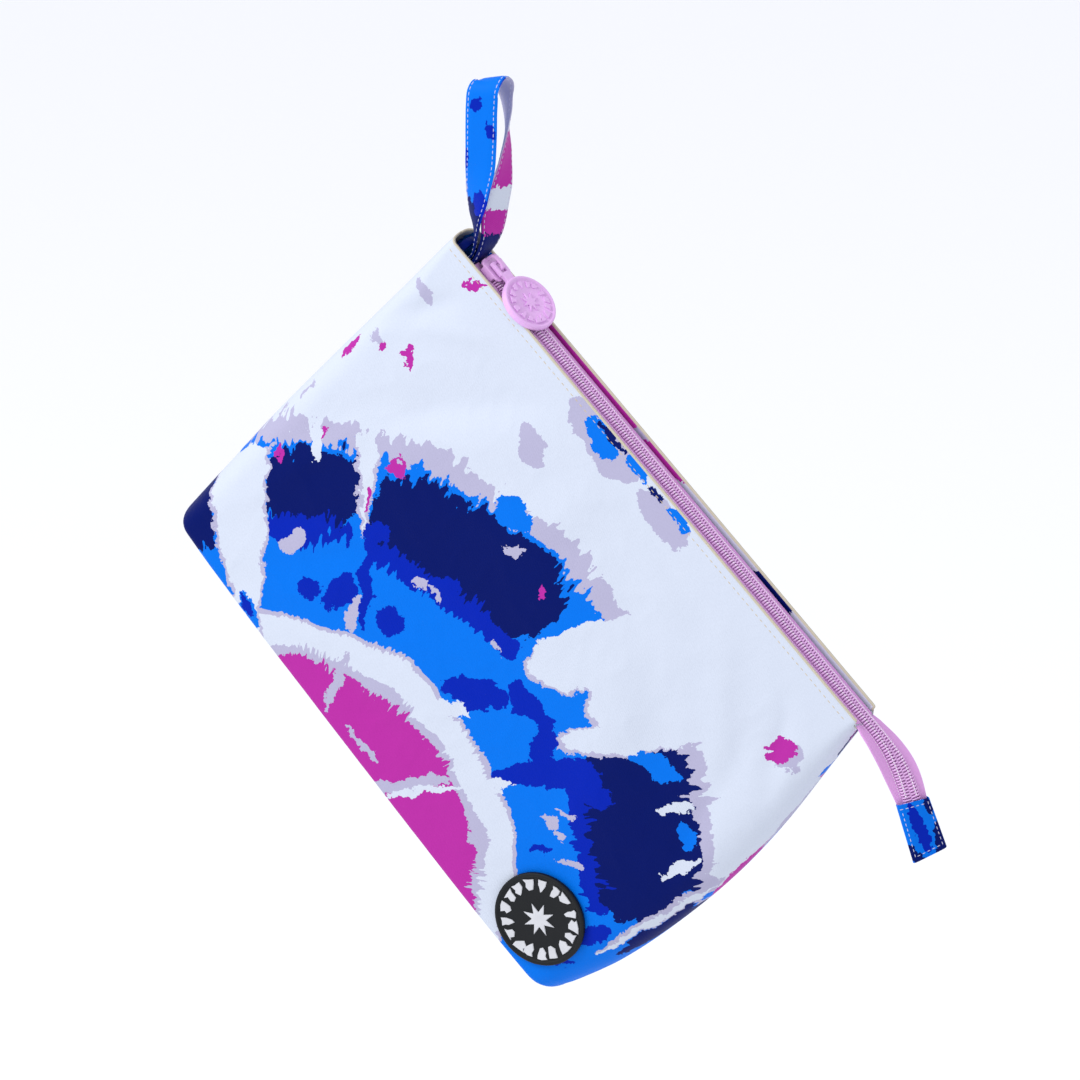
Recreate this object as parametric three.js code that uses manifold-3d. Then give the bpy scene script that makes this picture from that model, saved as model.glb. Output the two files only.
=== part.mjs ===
// A soft zip pouch with a boxed base, hanging by its loop. Millimetres, +Z up.
// The origin is the inside top of the loop, where the pouch hangs. Its front faces -Y.
// The pouch's own frame: x runs along the zip from the loop, y from front to back,
// z from the base up to the mouth. That frame is turned by HANG_ANGLE about Y.
import * as THREE from 'three';
import { mergeVertices } from 'three/addons/utils/BufferGeometryUtils.js';
import Module from 'manifold-3d';

const wasm = await Module();
wasm.setup();

const HANG_ANGLE = THREE.MathUtils.degToRad(43);
const GAP = 0.3;

const BAG_LENGTH = 300;
const BAG_HEIGHT = 227;
const BASE_DEPTH = 56;
const MOUTH_WIDTH = 20;
const CLOTH = 1.2;
const BASE_ROUND = 4;
const BASE_SLANT = 7;
const BASE_SAG = 3;
const BELLY = 2.4;

const TAPE_THICK = 0.8;
const TAPE_DEPTH = 2.6;
const TAPE_FLANGE = 7;
const TAPE_EASE = 0.1;
const TAPE_START = 16.8;
const TAIL_LENGTH = 44;
const TAIL_DROOP = THREE.MathUtils.degToRad(26);
const TAIL_TWIST = THREE.MathUtils.degToRad(48);
const COIL_WIDTH = 4;
const COIL_THICK = 2.2;

const TAB_LENGTH = 27;
const TAB_WIDTH = 17;
const TAB_THICK = 4.6;
const TAB_GRIP = 6;
const TAB_SLANT = 1.8;
const RIM_PLAY = 0.2;

const START_TAB_AT = 4.4;
const START_TAB_LENGTH = 4.4;
const START_TAB_RISE = 2.4;

const SLIDER_AT = 17.4;
const SLIDER_LENGTH = 13.4;
const SLIDER_NOSE = 1.4;
const SLIDER_PLATE = 1.2;
const SLIDER_RIM = 0.8;
const BRIDGE_LENGTH = 9.4;
const BRIDGE_WIDTH = 2.4;
const BRIDGE_WALL = 1.1;
const BRIDGE_RISE = 5.7;
const BRIDGE_SETBACK = 0.5;
const POST_LENGTH = 3.4;
const POST_WIDTH = 2.2;

const PULL_DISC = 29;
const PULL_THICK = 2.5;
const PULL_REACH = 24.7;
const PULL_NECK = 4.6;
const PULL_BAR = 2;
const PULL_ARM = 1.9;
const PULL_PLAY = 0.5;
const PULL_AXIS_RISE = 2.4;
const PULL_RELIEF = 0.3;
const PULL_RIM = 1.6;
const PULL_DOT_IN = 3.8;
const PULL_LEAN = THREE.MathUtils.degToRad(8);
const PULL_PITCH = THREE.MathUtils.degToRad(1.4);
const PULL_DOTS = 14;

const STRAP_WIDTH = 17;
const STRAP_THICK = 2;
const LOOP_DROP = 84;
const LOOP_LEAN = -5.2;
const LOOP_OPEN = 6.5;
const LOOP_FOOT_AT = 14;
const LOOP_FOOT_DEPTH = 7;

const BADGE_D = 48;
const BADGE_THICK = 1.8;
const BADGE_RIM = 2.2;
const BADGE_RELIEF = 0.6;
const BADGE_LIP = 0.5;
const BADGE_MARK_IN = 0.9;
const BADGE_FROM_TAIL = 30;
const BADGE_ABOVE_BASE = 29;
const BADGE_TURN = THREE.MathUtils.degToRad(-19);
const BADGE_MARKS = 14;

// Level sections of the pouch, from the mouth down. down is a share of BAG_HEIGHT.
// loopEnd and tailEnd are how far the side seams stand out, as shares of BAG_LENGTH.
// depth is the share of the way from the mouth's half width to the base's. loopCap and
// tailCap are the lengths of the rounded ends, as shares of the section's half depth.
const SECTIONS = [
  { down: 0.00, loopEnd: 0.000, tailEnd: 0.000, depth: 0.00, loopCap: 0.45, tailCap: 0.45 },
  { down: 0.05, loopEnd: 0.001, tailEnd: 0.004, depth: 0.04, loopCap: 0.55, tailCap: 0.70 },
  { down: 0.16, loopEnd: 0.001, tailEnd: 0.018, depth: 0.15, loopCap: 0.80, tailCap: 1.20 },
  { down: 0.32, loopEnd: 0.002, tailEnd: 0.038, depth: 0.34, loopCap: 0.90, tailCap: 1.45 },
  { down: 0.50, loopEnd: 0.003, tailEnd: 0.050, depth: 0.53, loopCap: 0.85, tailCap: 1.40 },
  { down: 0.68, loopEnd: 0.002, tailEnd: 0.048, depth: 0.72, loopCap: 0.75, tailCap: 1.15 },
  { down: 0.84, loopEnd: -0.003, tailEnd: 0.036, depth: 0.88, loopCap: 0.60, tailCap: 0.90 },
  { down: 0.95, loopEnd: -0.007, tailEnd: 0.016, depth: 0.98, loopCap: 0.45, tailCap: 0.66 },
  { down: 1.00, loopEnd: -0.009, tailEnd: 0.002, depth: 1.00, loopCap: 0.40, tailCap: 0.56 },
];

// Soft folds pressed in (-) or out (+) of a wall. along and down are the middle of the fold as
// shares of BAG_LENGTH and BAG_HEIGHT, turn is its lie from the zip's line in degrees,
// long and wide its half sizes as shares of BAG_LENGTH, and rise a share of BELLY.
const FRONT_FOLDS = [
  { along: 0.16, down: 0.30, turn: 62, long: 0.22, wide: 0.045, rise: -0.55 },
  { along: 0.30, down: 0.22, turn: 48, long: 0.17, wide: 0.050, rise: 0.50 },
  { along: 0.62, down: 0.45, turn: -20, long: 0.24, wide: 0.060, rise: 0.45 },
  { along: 0.82, down: 0.40, turn: -52, long: 0.20, wide: 0.045, rise: -0.60 },
  { along: 0.90, down: 0.62, turn: -64, long: 0.16, wide: 0.040, rise: 0.40 },
];
const BACK_FOLDS = [
  { along: 0.20, down: 0.34, turn: 56, long: 0.22, wide: 0.050, rise: -0.60 },
  { along: 0.52, down: 0.50, turn: -12, long: 0.28, wide: 0.070, rise: 0.60 },
  { along: 0.80, down: 0.36, turn: -48, long: 0.20, wide: 0.050, rise: -0.55 },
];

// The zip's tail, from the end of the pouch. along is a share of TAIL_LENGTH, and half the
// tape's half width as a share of the mouth's.
const TAIL = [
  { along: 0.00, half: 0.85 },
  { along: 0.10, half: 1.02 },
  { along: 0.28, half: 1.08 },
  { along: 0.50, half: 0.98 },
  { along: 0.75, half: 0.86 },
  { along: 1.00, half: 0.74 },
  { along: 1.16, half: 0.70 },
];

// The loop's two strands, from the top down. down is a share of LOOP_DROP, aside a share of
// STRAP_WIDTH along X, out a share of LOOP_OPEN along Y. turn and tilt lay the strap's
// width: degrees about Z, and degrees up from level.
const FRONT_STRAND = [
  { down: 0.000, aside: 0.10, out: -0.55, turn: 0, tilt: 16 },
  { down: 0.045, aside: 0.02, out: -0.92, turn: 0, tilt: 8 },
  { down: 0.13, aside: -0.01, out: -1.02, turn: 0, tilt: 2 },
  { down: 0.27, aside: -0.02, out: -1.05, turn: 0, tilt: 0 },
  { down: 0.46, aside: -0.06, out: -1.02, turn: -4, tilt: 0 },
  { down: 0.64, aside: -0.18, out: -0.95, turn: -22, tilt: 0 },
  { down: 0.79, aside: -0.33, out: -0.62, turn: -44, tilt: 0 },
  { down: 0.92, aside: -0.36, out: -0.25, turn: -66, tilt: 0 },
];
const BACK_STRAND = [
  { down: 0.000, aside: 0.16, out: 0.55, turn: -16, tilt: 16 },
  { down: 0.045, aside: 0.20, out: 1.05, turn: -28, tilt: 10 },
  { down: 0.13, aside: 0.26, out: 1.30, turn: -42, tilt: 2 },
  { down: 0.27, aside: 0.28, out: 1.35, turn: -58, tilt: 0 },
  { down: 0.46, aside: 0.26, out: 1.20, turn: -80, tilt: 0 },
  { down: 0.64, aside: 0.18, out: 0.85, turn: -102, tilt: 0 },
  { down: 0.79, aside: 0.06, out: 0.50, turn: -108, tilt: 0 },
  { down: 0.92, aside: 0.00, out: 0.22, turn: -98, tilt: 0 },
];

const smooth = (x, from, to) => THREE.MathUtils.smoothstep(x, from, to);
const mouthHalf = MOUTH_WIDTH / 2;
const mouthInside = mouthHalf - CLOTH - GAP;

// Reads one column of a table at a position, along a smooth curve through its rows.
function column(table, key, name, at) {
  const last = table.length - 1;
  let i = 0;
  while (i < last - 1 && at > table[i + 1][key]) i += 1;
  const span = table[i + 1][key] - table[i][key];
  const t = THREE.MathUtils.clamp((at - table[i][key]) / span, 0, 1);
  const slope = (k) => {
    const a = Math.max(k - 1, 0);
    const b = Math.min(k + 1, last);
    return (table[b][name] - table[a][name]) / (table[b][key] - table[a][key]);
  };
  const t2 = t * t;
  const t3 = t2 * t;
  return (2 * t3 - 3 * t2 + 1) * table[i][name] + (t3 - 2 * t2 + t) * span * slope(i)
    + (3 * t2 - 2 * t3) * table[i + 1][name] + (t3 - t2) * span * slope(i + 1);
}

// A closed body from vertices and triangles, with its faces turned outwards.
function body(points, faces) {
  const signed = faces.reduce((sum, [a, b, c]) => {
    const normal = new THREE.Vector3().crossVectors(points[b], points[c]);
    return sum + points[a].dot(normal);
  }, 0);
  const turned = signed < 0 ? faces.map(([a, b, c]) => [a, c, b]) : faces;
  const geometry = new THREE.BufferGeometry().setFromPoints(points);
  geometry.setIndex(turned.flat());
  geometry.computeVertexNormals();
  return geometry;
}

// Skins a row of closed rings, and closes both ends by the ring's flat outline.
function loft(rings, outline) {
  const n = outline.length;
  const faces = [];
  rings.slice(1).forEach((_, r) => {
    for (let i = 0; i < n; i += 1) {
      const j = (i + 1) % n;
      const [a, b, c, d] = [r * n + i, r * n + j, (r + 1) * n + j, (r + 1) * n + i];
      faces.push([a, b, c], [a, c, d]);
    }
  });
  const cap = THREE.ShapeUtils.triangulateShape(outline, []);
  const end = (rings.length - 1) * n;
  const along = THREE.ShapeUtils.area(outline) > 0;
  cap.forEach(([a, b, c]) => {
    faces.push(along ? [a, c, b] : [a, b, c]);
    faces.push(along ? [end + a, end + b, end + c] : [end + a, end + c, end + b]);
  });
  return body(rings.flat(), faces);
}

// A wall between two grids of points that share their row and column counts.
function wall(outer, inner) {
  const rows = outer.length;
  const columns = outer[0].length;
  const points = [...outer.flat(), ...inner.flat()];
  const out = (r, c) => r * columns + c;
  const inn = (r, c) => rows * columns + r * columns + c;
  const faces = [];
  const quad = (a, b, c, d) => faces.push([a, b, c], [a, c, d]);
  for (let r = 0; r < rows - 1; r += 1) {
    for (let c = 0; c < columns - 1; c += 1) {
      quad(out(r, c), out(r, c + 1), out(r + 1, c + 1), out(r + 1, c));
      quad(inn(r, c), inn(r + 1, c), inn(r + 1, c + 1), inn(r, c + 1));
    }
    quad(out(r, 0), out(r + 1, 0), inn(r + 1, 0), inn(r, 0));
    quad(out(r + 1, columns - 1), out(r, columns - 1), inn(r, columns - 1), inn(r + 1, columns - 1));
  }
  for (let c = 0; c < columns - 1; c += 1) {
    quad(out(0, c + 1), out(0, c), inn(0, c), inn(0, c + 1));
    quad(out(rows - 1, c), out(rows - 1, c + 1), inn(rows - 1, c + 1), inn(rows - 1, c));
  }
  return body(points, faces);
}

function solid(geometry) {
  const bare = geometry.clone();
  bare.deleteAttribute('normal');
  bare.deleteAttribute('uv');
  const merged = mergeVertices(bare.index ? bare.toNonIndexed() : bare, 1e-4);
  return new wasm.Manifold(new wasm.Mesh({
    numProp: 3,
    vertProperties: new Float32Array(merged.attributes.position.array),
    triVerts: new Uint32Array(merged.index.array),
  }));
}

function geometryOf(manifold) {
  const mesh = manifold.getMesh();
  const geometry = new THREE.BufferGeometry();
  geometry.setAttribute('position', new THREE.BufferAttribute(mesh.vertProperties, 3));
  geometry.setIndex(new THREE.BufferAttribute(mesh.triVerts, 1));
  geometry.computeVertexNormals();
  return geometry;
}

const join = (...pieces) => geometryOf(pieces.map(solid).reduce((a, b) => a.add(b)));

const cut = (piece, ...tools) => geometryOf(tools.map(solid).reduce((a, b) => a.subtract(b), solid(piece)));

function block(length, width, height, x, y, z) {
  return new THREE.BoxGeometry(length, width, height).translate(x, y, z);
}

function mesh(name, geometry, colour, roughness) {
  const made = new THREE.Mesh(geometry, new THREE.MeshStandardMaterial({ color: colour, roughness }));
  made.name = name;
  return made;
}

// How far a wall's folds lift it at a place given as shares along and down.
function foldRise(folds, along, down) {
  return folds.reduce((sum, fold) => {
    const turn = THREE.MathUtils.degToRad(fold.turn);
    const x = along - fold.along;
    const z = (fold.down - down) * BAG_HEIGHT / BAG_LENGTH;
    const p = (x * Math.cos(turn) + z * Math.sin(turn)) / fold.long;
    const q = (z * Math.cos(turn) - x * Math.sin(turn)) / fold.wide;
    return sum + fold.rise * BELLY * Math.exp(-(p * p + q * q));
  }, 0);
}

// How far the flat of a wall stands from the seam plane.
function wallDepth(folds, along, down) {
  const depth = column(SECTIONS, 'down', 'depth', down);
  const free = smooth(down, 0, 0.25) * smooth(1 - down, 0, 0.2);
  const middle = smooth(along, 0.02, 0.35) * smooth(1 - along, 0.02, 0.35);
  const swell = BELLY * free * middle;
  const edge = smooth(down, 0.01, 0.12) * smooth(1 - down, 0.02, 0.12)
    * smooth(along, 0.0, 0.08) * smooth(1 - along, 0.0, 0.08);
  return mouthHalf + (BASE_DEPTH / 2 - mouthHalf) * depth + swell + edge * foldRise(folds, along, down);
}

const CAP_STEPS = 6;
const FLAT_STEPS = 22;
const WALL_ROWS = 15;
const ROUND_STEPS = 3;
const BASE_STEPS = 3;

// The height of a section at a place along it: the base slants and sags a little.
function level(x, down) {
  const off = THREE.MathUtils.clamp(2 * x / BAG_LENGTH - 1, -1, 1);
  return -BAG_HEIGHT * down - BASE_SLANT * off * down - BASE_SAG * (1 - off ** 4) * down ** 3;
}

// One level section of a wall, drawn in by inset, as points from the loop's seam to the tail's.
function section(folds, side, down, inset, sink) {
  const half = wallDepth(folds, 0, down);
  const thin = (half - inset) / half;
  const from = -column(SECTIONS, 'down', 'loopEnd', down) * BAG_LENGTH + inset;
  const to = BAG_LENGTH + column(SECTIONS, 'down', 'tailEnd', down) * BAG_LENGTH - inset;
  const loopCap = column(SECTIONS, 'down', 'loopCap', down) * half * thin;
  const tailCap = column(SECTIONS, 'down', 'tailCap', down) * half * thin;
  const place = (x, reach) => {
    const along = THREE.MathUtils.clamp(x / BAG_LENGTH, 0, 1);
    const depth = (wallDepth(folds, along, down) * thin) * reach;
    return new THREE.Vector3(x, side * (depth + GAP / 2), level(x, down) + sink);
  };
  const points = [];
  for (let i = 0; i <= CAP_STEPS; i += 1) {
    const angle = Math.PI / 2 * i / CAP_STEPS;
    points.push(place(from + loopCap * (1 - Math.cos(angle) ** 0.8), Math.sin(angle) ** 0.8));
  }
  for (let i = 1; i < FLAT_STEPS; i += 1) {
    points.push(place(from + loopCap + (to - from - loopCap - tailCap) * i / FLAT_STEPS, 1));
  }
  for (let i = CAP_STEPS; i >= 0; i -= 1) {
    const angle = Math.PI / 2 * i / CAP_STEPS;
    points.push(place(to - tailCap * (1 - Math.cos(angle) ** 0.8), Math.sin(angle) ** 0.8));
  }
  return points;
}

// The rim at the tail end drops, so that the zip passes over it.
const tailNotch = TAPE_DEPTH + TAPE_THICK + GAP + RIM_PLAY;
function notchRim(points) {
  return points.map((p) => {
    const end = smooth(p.x, BAG_LENGTH * 0.97, BAG_LENGTH * 0.985);
    const inside = 1 - smooth(Math.abs(p.y), mouthInside + GAP, mouthHalf);
    return new THREE.Vector3(p.x, p.y, p.z - tailNotch * end * inside);
  });
}

function panel(folds, side) {
  const roundShare = BASE_ROUND / BAG_HEIGHT;
  const grid = (inset, sink) => {
    const rows = [];
    for (let r = 0; r <= WALL_ROWS; r += 1) {
      const down = (1 - roundShare) * (r / WALL_ROWS);
      rows.push(section(folds, side, down, inset, 0));
    }
    for (let r = 1; r <= ROUND_STEPS; r += 1) {
      const angle = Math.PI / 2 * r / ROUND_STEPS;
      const radius = BASE_ROUND - sink;
      const drawn = inset + radius * (1 - Math.cos(angle));
      rows.push(section(folds, side, 1 - roundShare, drawn, -radius * Math.sin(angle)));
    }
    const half = wallDepth(folds, 0, 1 - roundShare);
    const start = inset + BASE_ROUND - sink;
    for (let r = 1; r <= BASE_STEPS; r += 1) {
      const drawn = start + (half - start) * r / BASE_STEPS;
      rows.push(section(folds, side, 1 - roundShare, drawn, -(BASE_ROUND - sink)));
    }
    rows[0] = notchRim(rows[0]);
    return rows;
  };
  return wall(grid(0, 0), grid(CLOTH, CLOTH));
}

// The zip's line: straight along the mouth, then a curve that droops and twists in the tail.
function zipFrame(at) {
  const past = Math.max(at - BAG_LENGTH, 0);
  const droop = (run) => TAIL_DROOP * smooth(run, TAIL_LENGTH * 0.05, TAIL_LENGTH);
  const twist = TAIL_TWIST * smooth(past, TAIL_LENGTH * 0.1, TAIL_LENGTH);
  const place = new THREE.Vector3(Math.min(at, BAG_LENGTH), 0, -TAPE_DEPTH);
  const steps = 24;
  for (let i = 0; i < steps; i += 1) {
    const turned = droop(past * (i + 0.5) / steps);
    place.x += Math.cos(turned) * past / steps;
    place.z -= Math.sin(turned) * past / steps;
  }
  const bend = droop(past);
  const along = new THREE.Vector3(Math.cos(bend), 0, -Math.sin(bend));
  const up = new THREE.Vector3(Math.sin(bend), 0, Math.cos(bend));
  const across = new THREE.Vector3(0, Math.cos(twist), 0).addScaledVector(up, Math.sin(twist));
  const normal = new THREE.Vector3(0, -Math.sin(twist), 0).addScaledVector(up, Math.cos(twist));
  return { place, along, across, normal };
}

function zipPoint(at, y, z) {
  const frame = zipFrame(at);
  return frame.place.clone().addScaledVector(frame.across, y).addScaledVector(frame.normal, z);
}

const zipEnd = BAG_LENGTH + TAIL_LENGTH + TAB_GRIP;
const bendFrom = BAG_LENGTH * 0.95;

function stations(from) {
  const list = [from];
  const bagSteps = 10;
  for (let i = 1; i <= bagSteps; i += 1) list.push(from + (bendFrom - from) * i / bagSteps);
  const tailSteps = 14;
  for (let i = 1; i <= tailSteps; i += 1) list.push(bendFrom + (zipEnd - bendFrom) * i / tailSteps);
  return list;
}

const coilStart = SLIDER_AT + SLIDER_NOSE + POST_LENGTH + GAP;

// Half of the tape: flat under the mouth, turned down along the inside of the wall, and
// opening out flat in the tail.
function zipTape(side) {
  const ring = (at) => {
    const past = Math.max(at - BAG_LENGTH, 0) / TAIL_LENGTH;
    const half = past > 0 ? column(TAIL, 'along', 'half', past) * mouthHalf : mouthInside;
    const turned = 1 - smooth(at, BAG_LENGTH * 0.92, BAG_LENGTH * 0.955);
    const flange = TAPE_THICK + TAPE_EASE + TAPE_FLANGE * turned;
    const edge = GAP / 2 + (POST_WIDTH / 2 + GAP / 2) * (1 - smooth(at, coilStart, coilStart + 2));
    return [
      [edge, 0],
      [half, 0],
      [half, -flange],
      [half - TAPE_THICK, -flange],
      [half - TAPE_THICK, -TAPE_THICK],
      [edge, -TAPE_THICK],
    ];
  };
  const list = stations(TAPE_START);
  list.splice(1, 0, coilStart, coilStart + 2);
  const rings = list.map((at) => ring(at).map(([y, z]) => zipPoint(at, side * y, z)));
  return loft(rings, ring(list[0]).map(([y, z]) => new THREE.Vector2(y, z)));
}

function zipCoil(side) {
  const low = GAP;
  const high = GAP + COIL_THICK;
  const near = GAP / 2;
  const far = GAP / 2 + COIL_WIDTH;
  const ease = COIL_THICK * 0.3;
  const outline = [
    [near, low],
    [far - ease, low],
    [far, low + ease],
    [far, high - ease],
    [far - ease, high],
    [near, high],
  ];
  const list = stations(coilStart);
  const rings = list.map((at) => outline.map(([y, z]) => zipPoint(at, side * y, z)));
  return loft(rings, outline.map(([y, z]) => new THREE.Vector2(y, z)));
}

const coilTop = -TAPE_DEPTH + GAP + COIL_THICK;
const plateLow = coilTop + GAP;
const plateTop = plateLow + SLIDER_PLATE;
const sliderHalf = COIL_WIDTH + GAP / 2 + GAP + SLIDER_RIM;
const bridgeAt = SLIDER_AT + BRIDGE_SETBACK + BRIDGE_LENGTH / 2;
const extruded = (depth, curveSegments) => ({ depth, bevelEnabled: false, curveSegments });

function plate(length, width, thick, round) {
  const shape = new THREE.Shape();
  const x = length / 2;
  const y = width / 2;
  shape.moveTo(-x + round, -y);
  shape.lineTo(x - round, -y);
  shape.quadraticCurveTo(x, -y, x, -y + round);
  shape.lineTo(x, y - round);
  shape.quadraticCurveTo(x, y, x - round, y);
  shape.lineTo(-x + round, y);
  shape.quadraticCurveTo(-x, y, -x, y - round);
  shape.lineTo(-x, -y + round);
  shape.quadraticCurveTo(-x, -y, -x + round, -y);
  return new THREE.ExtrudeGeometry(shape, extruded(thick, 4));
}

// The slider: two plates round the coil, joined by the post between the two tapes, with the
// bridge that carries the pull.
function slider() {
  const middle = SLIDER_AT + SLIDER_LENGTH / 2;
  const bottomTop = -TAPE_DEPTH - TAPE_THICK - GAP;
  const top = plate(SLIDER_LENGTH, 2 * sliderHalf, SLIDER_PLATE, 3).translate(middle, 0, plateLow);
  const bottom = plate(SLIDER_LENGTH - 1, 2 * sliderHalf - 1, SLIDER_PLATE, 2.5)
    .translate(middle, 0, bottomTop - SLIDER_PLATE);
  const rimLow = -TAPE_DEPTH + GAP;
  const rimHeight = plateLow - rimLow + SLIDER_PLATE / 2;
  const rims = [-1, 1].map((side) => block(SLIDER_LENGTH - 6, SLIDER_RIM, rimHeight,
    middle, side * (sliderHalf - SLIDER_RIM / 2), rimLow + rimHeight / 2));
  const postHeight = plateLow - bottomTop + SLIDER_PLATE;
  const post = block(POST_LENGTH, POST_WIDTH, postHeight,
    SLIDER_AT + SLIDER_NOSE + POST_LENGTH / 2, 0, bottomTop - SLIDER_PLATE / 2 + postHeight / 2);
  const arch = new THREE.Shape();
  const x = BRIDGE_LENGTH / 2;
  arch.moveTo(-x, 0);
  arch.lineTo(x, 0);
  arch.lineTo(x, BRIDGE_RISE * 0.45);
  arch.quadraticCurveTo(x, BRIDGE_RISE, x * 0.35, BRIDGE_RISE);
  arch.lineTo(-x * 0.35, BRIDGE_RISE);
  arch.quadraticCurveTo(-x, BRIDGE_RISE, -x, BRIDGE_RISE * 0.45);
  const hole = new THREE.Path();
  const hx = x - BRIDGE_WALL - 0.2;
  const hz = BRIDGE_RISE - BRIDGE_WALL;
  hole.moveTo(-hx, SLIDER_PLATE / 2);
  hole.lineTo(-hx, hz * 0.5);
  hole.quadraticCurveTo(-hx, hz, -hx * 0.35, hz);
  hole.lineTo(hx * 0.35, hz);
  hole.quadraticCurveTo(hx, hz, hx, hz * 0.5);
  hole.lineTo(hx, SLIDER_PLATE / 2);
  arch.holes.push(hole);
  const bridge = new THREE.ExtrudeGeometry(arch, extruded(BRIDGE_WIDTH, 5))
    .rotateX(Math.PI / 2)
    .translate(bridgeAt, BRIDGE_WIDTH / 2, plateTop - SLIDER_PLATE / 2);
  return join(top, bottom, ...rims, post, bridge);
}

// The pull is one moulding: a bar under the bridge, two arms past it, a neck and a disc with
// a raised rim and a ring of raised dots. Its own x runs from the bar to the disc.
function pull() {
  const armGap = BRIDGE_WIDTH / 2 + PULL_PLAY;
  const armHalf = armGap + PULL_ARM;
  const radius = PULL_DISC / 2;
  const eyeLength = BRIDGE_LENGTH * 0.62;
  const arm = (side) => block(eyeLength + 2, armHalf - armGap, PULL_BAR,
    eyeLength / 2, side * (armHalf + armGap) / 2, 0);
  const bar = new THREE.CylinderGeometry(PULL_BAR / 2, PULL_BAR / 2, 2 * armHalf - 1, 12);
  const neckEnd = PULL_REACH - radius + 2;
  const shape = new THREE.Shape();
  shape.moveTo(eyeLength, -armHalf);
  shape.quadraticCurveTo(eyeLength + 3, -PULL_NECK / 2, neckEnd, -PULL_NECK / 2 - 0.8);
  shape.lineTo(neckEnd, PULL_NECK / 2 + 0.8);
  shape.quadraticCurveTo(eyeLength + 3, PULL_NECK / 2, eyeLength, armHalf);
  const neck = new THREE.ExtrudeGeometry(shape, extruded(PULL_BAR, 5))
    .translate(0, 0, -PULL_BAR / 2);
  const half = PULL_THICK / 2;
  const profile = [
    [0, -half],
    [radius - 0.6, -half],
    [radius, -half + 0.6],
    [radius, half - 0.4],
    [radius - 0.4, half],
    [radius - PULL_RIM, half],
    [radius - PULL_RIM - PULL_RELIEF, half - PULL_RELIEF],
    [0, half - PULL_RELIEF],
  ].map(([r, z]) => new THREE.Vector2(r, z));
  const disc = new THREE.LatheGeometry(profile, 36).rotateX(Math.PI / 2).translate(PULL_REACH, 0, 0);
  const dots = [];
  for (let i = 0; i < PULL_DOTS; i += 1) {
    const angle = 2 * Math.PI * i / PULL_DOTS;
    const reach = radius - PULL_DOT_IN;
    dots.push(new THREE.CylinderGeometry(0.55, 0.7, 0.7, 6)
      .rotateX(Math.PI / 2)
      .translate(PULL_REACH + reach * Math.cos(angle), reach * Math.sin(angle), half - PULL_RELIEF));
  }
  return join(bar, arm(-1), arm(1), neck, disc, ...dots);
}

// The folded end of the tail, with a pocket that holds the tape and the coil.
function tailTab() {
  const start = BAG_LENGTH + TAIL_LENGTH;
  const rows = 6;
  const outline = (share) => {
    const y = TAB_WIDTH / 2 * (0.94 + 0.1 * share);
    const z = TAB_THICK / 2 * (1 - 0.5 * share);
    const ease = z * 0.45;
    return [[-y, -z + ease], [-y, z - ease], [-y + ease, z], [y - ease, z],
      [y, z - ease], [y, -z + ease], [y - ease, -z], [-y + ease, -z]];
  };
  const lift = (GAP + COIL_THICK - TAPE_THICK) / 2;
  const rings = [];
  for (let i = 0; i <= rows; i += 1) {
    const share = i / rows;
    const at = start + TAB_LENGTH * share;
    rings.push(outline(share).map(([y, z]) => {
      const slant = TAB_SLANT * (y / TAB_WIDTH) * (share > 0.5 ? -1 : 1);
      return zipPoint(at + slant, y, z + lift);
    }));
  }
  const tab = loft(rings, outline(0).map(([y, z]) => new THREE.Vector2(y, z)));
  const room = mouthHalf * column(TAIL, 'along', 'half', 1) + GAP;
  const pocketLow = -TAPE_THICK - TAPE_EASE - GAP;
  const pocketHigh = 2 * GAP + COIL_THICK;
  const pocketOutline = [[-room, pocketLow], [room, pocketLow], [room, GAP],
    [COIL_WIDTH + 2 * GAP, pocketHigh], [-COIL_WIDTH - 2 * GAP, pocketHigh], [-room, GAP]];
  const pocketRings = [start - 4, zipEnd + GAP].map((at) => (
    pocketOutline.map(([y, z]) => zipPoint(at, y, z))));
  const pocket = loft(pocketRings, pocketOutline.map(([y, z]) => new THREE.Vector2(y, z)));
  return cut(tab, pocket);
}

// The folded cloth over the start of the zip: a low saddle between the corner and the loop.
function startTab() {
  const rows = 6;
  const across = 8;
  const outer = [];
  const inner = [];
  for (let r = 0; r <= rows; r += 1) {
    const share = r / rows;
    const x = START_TAB_AT + START_TAB_LENGTH * share;
    const rise = START_TAB_RISE * (0.25 + 0.75 * Math.sin(Math.PI / 2 * share));
    const line = (drop) => {
      const points = [];
      for (let i = 0; i <= across; i += 1) {
        const y = mouthInside * (2 * i / across - 1);
        const arch = 1 - (y / mouthInside) ** 2;
        points.push(new THREE.Vector3(x, y, -TAPE_DEPTH + (rise + TAPE_DEPTH) * arch - drop));
      }
      return points;
    };
    outer.push(line(0));
    inner.push(line(CLOTH));
  }
  return wall(outer, inner);
}

// The strap, from one foot inside the mouth, over the top and down to the other foot.
const toBag = new THREE.Matrix4().makeRotationY(HANG_ANGLE);
const footHere = new THREE.Vector3(LOOP_FOOT_AT, 0, 0).applyMatrix4(toBag);
const bagPlace = new THREE.Vector3(LOOP_LEAN, 0, -LOOP_DROP - STRAP_THICK).sub(footHere);

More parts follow.
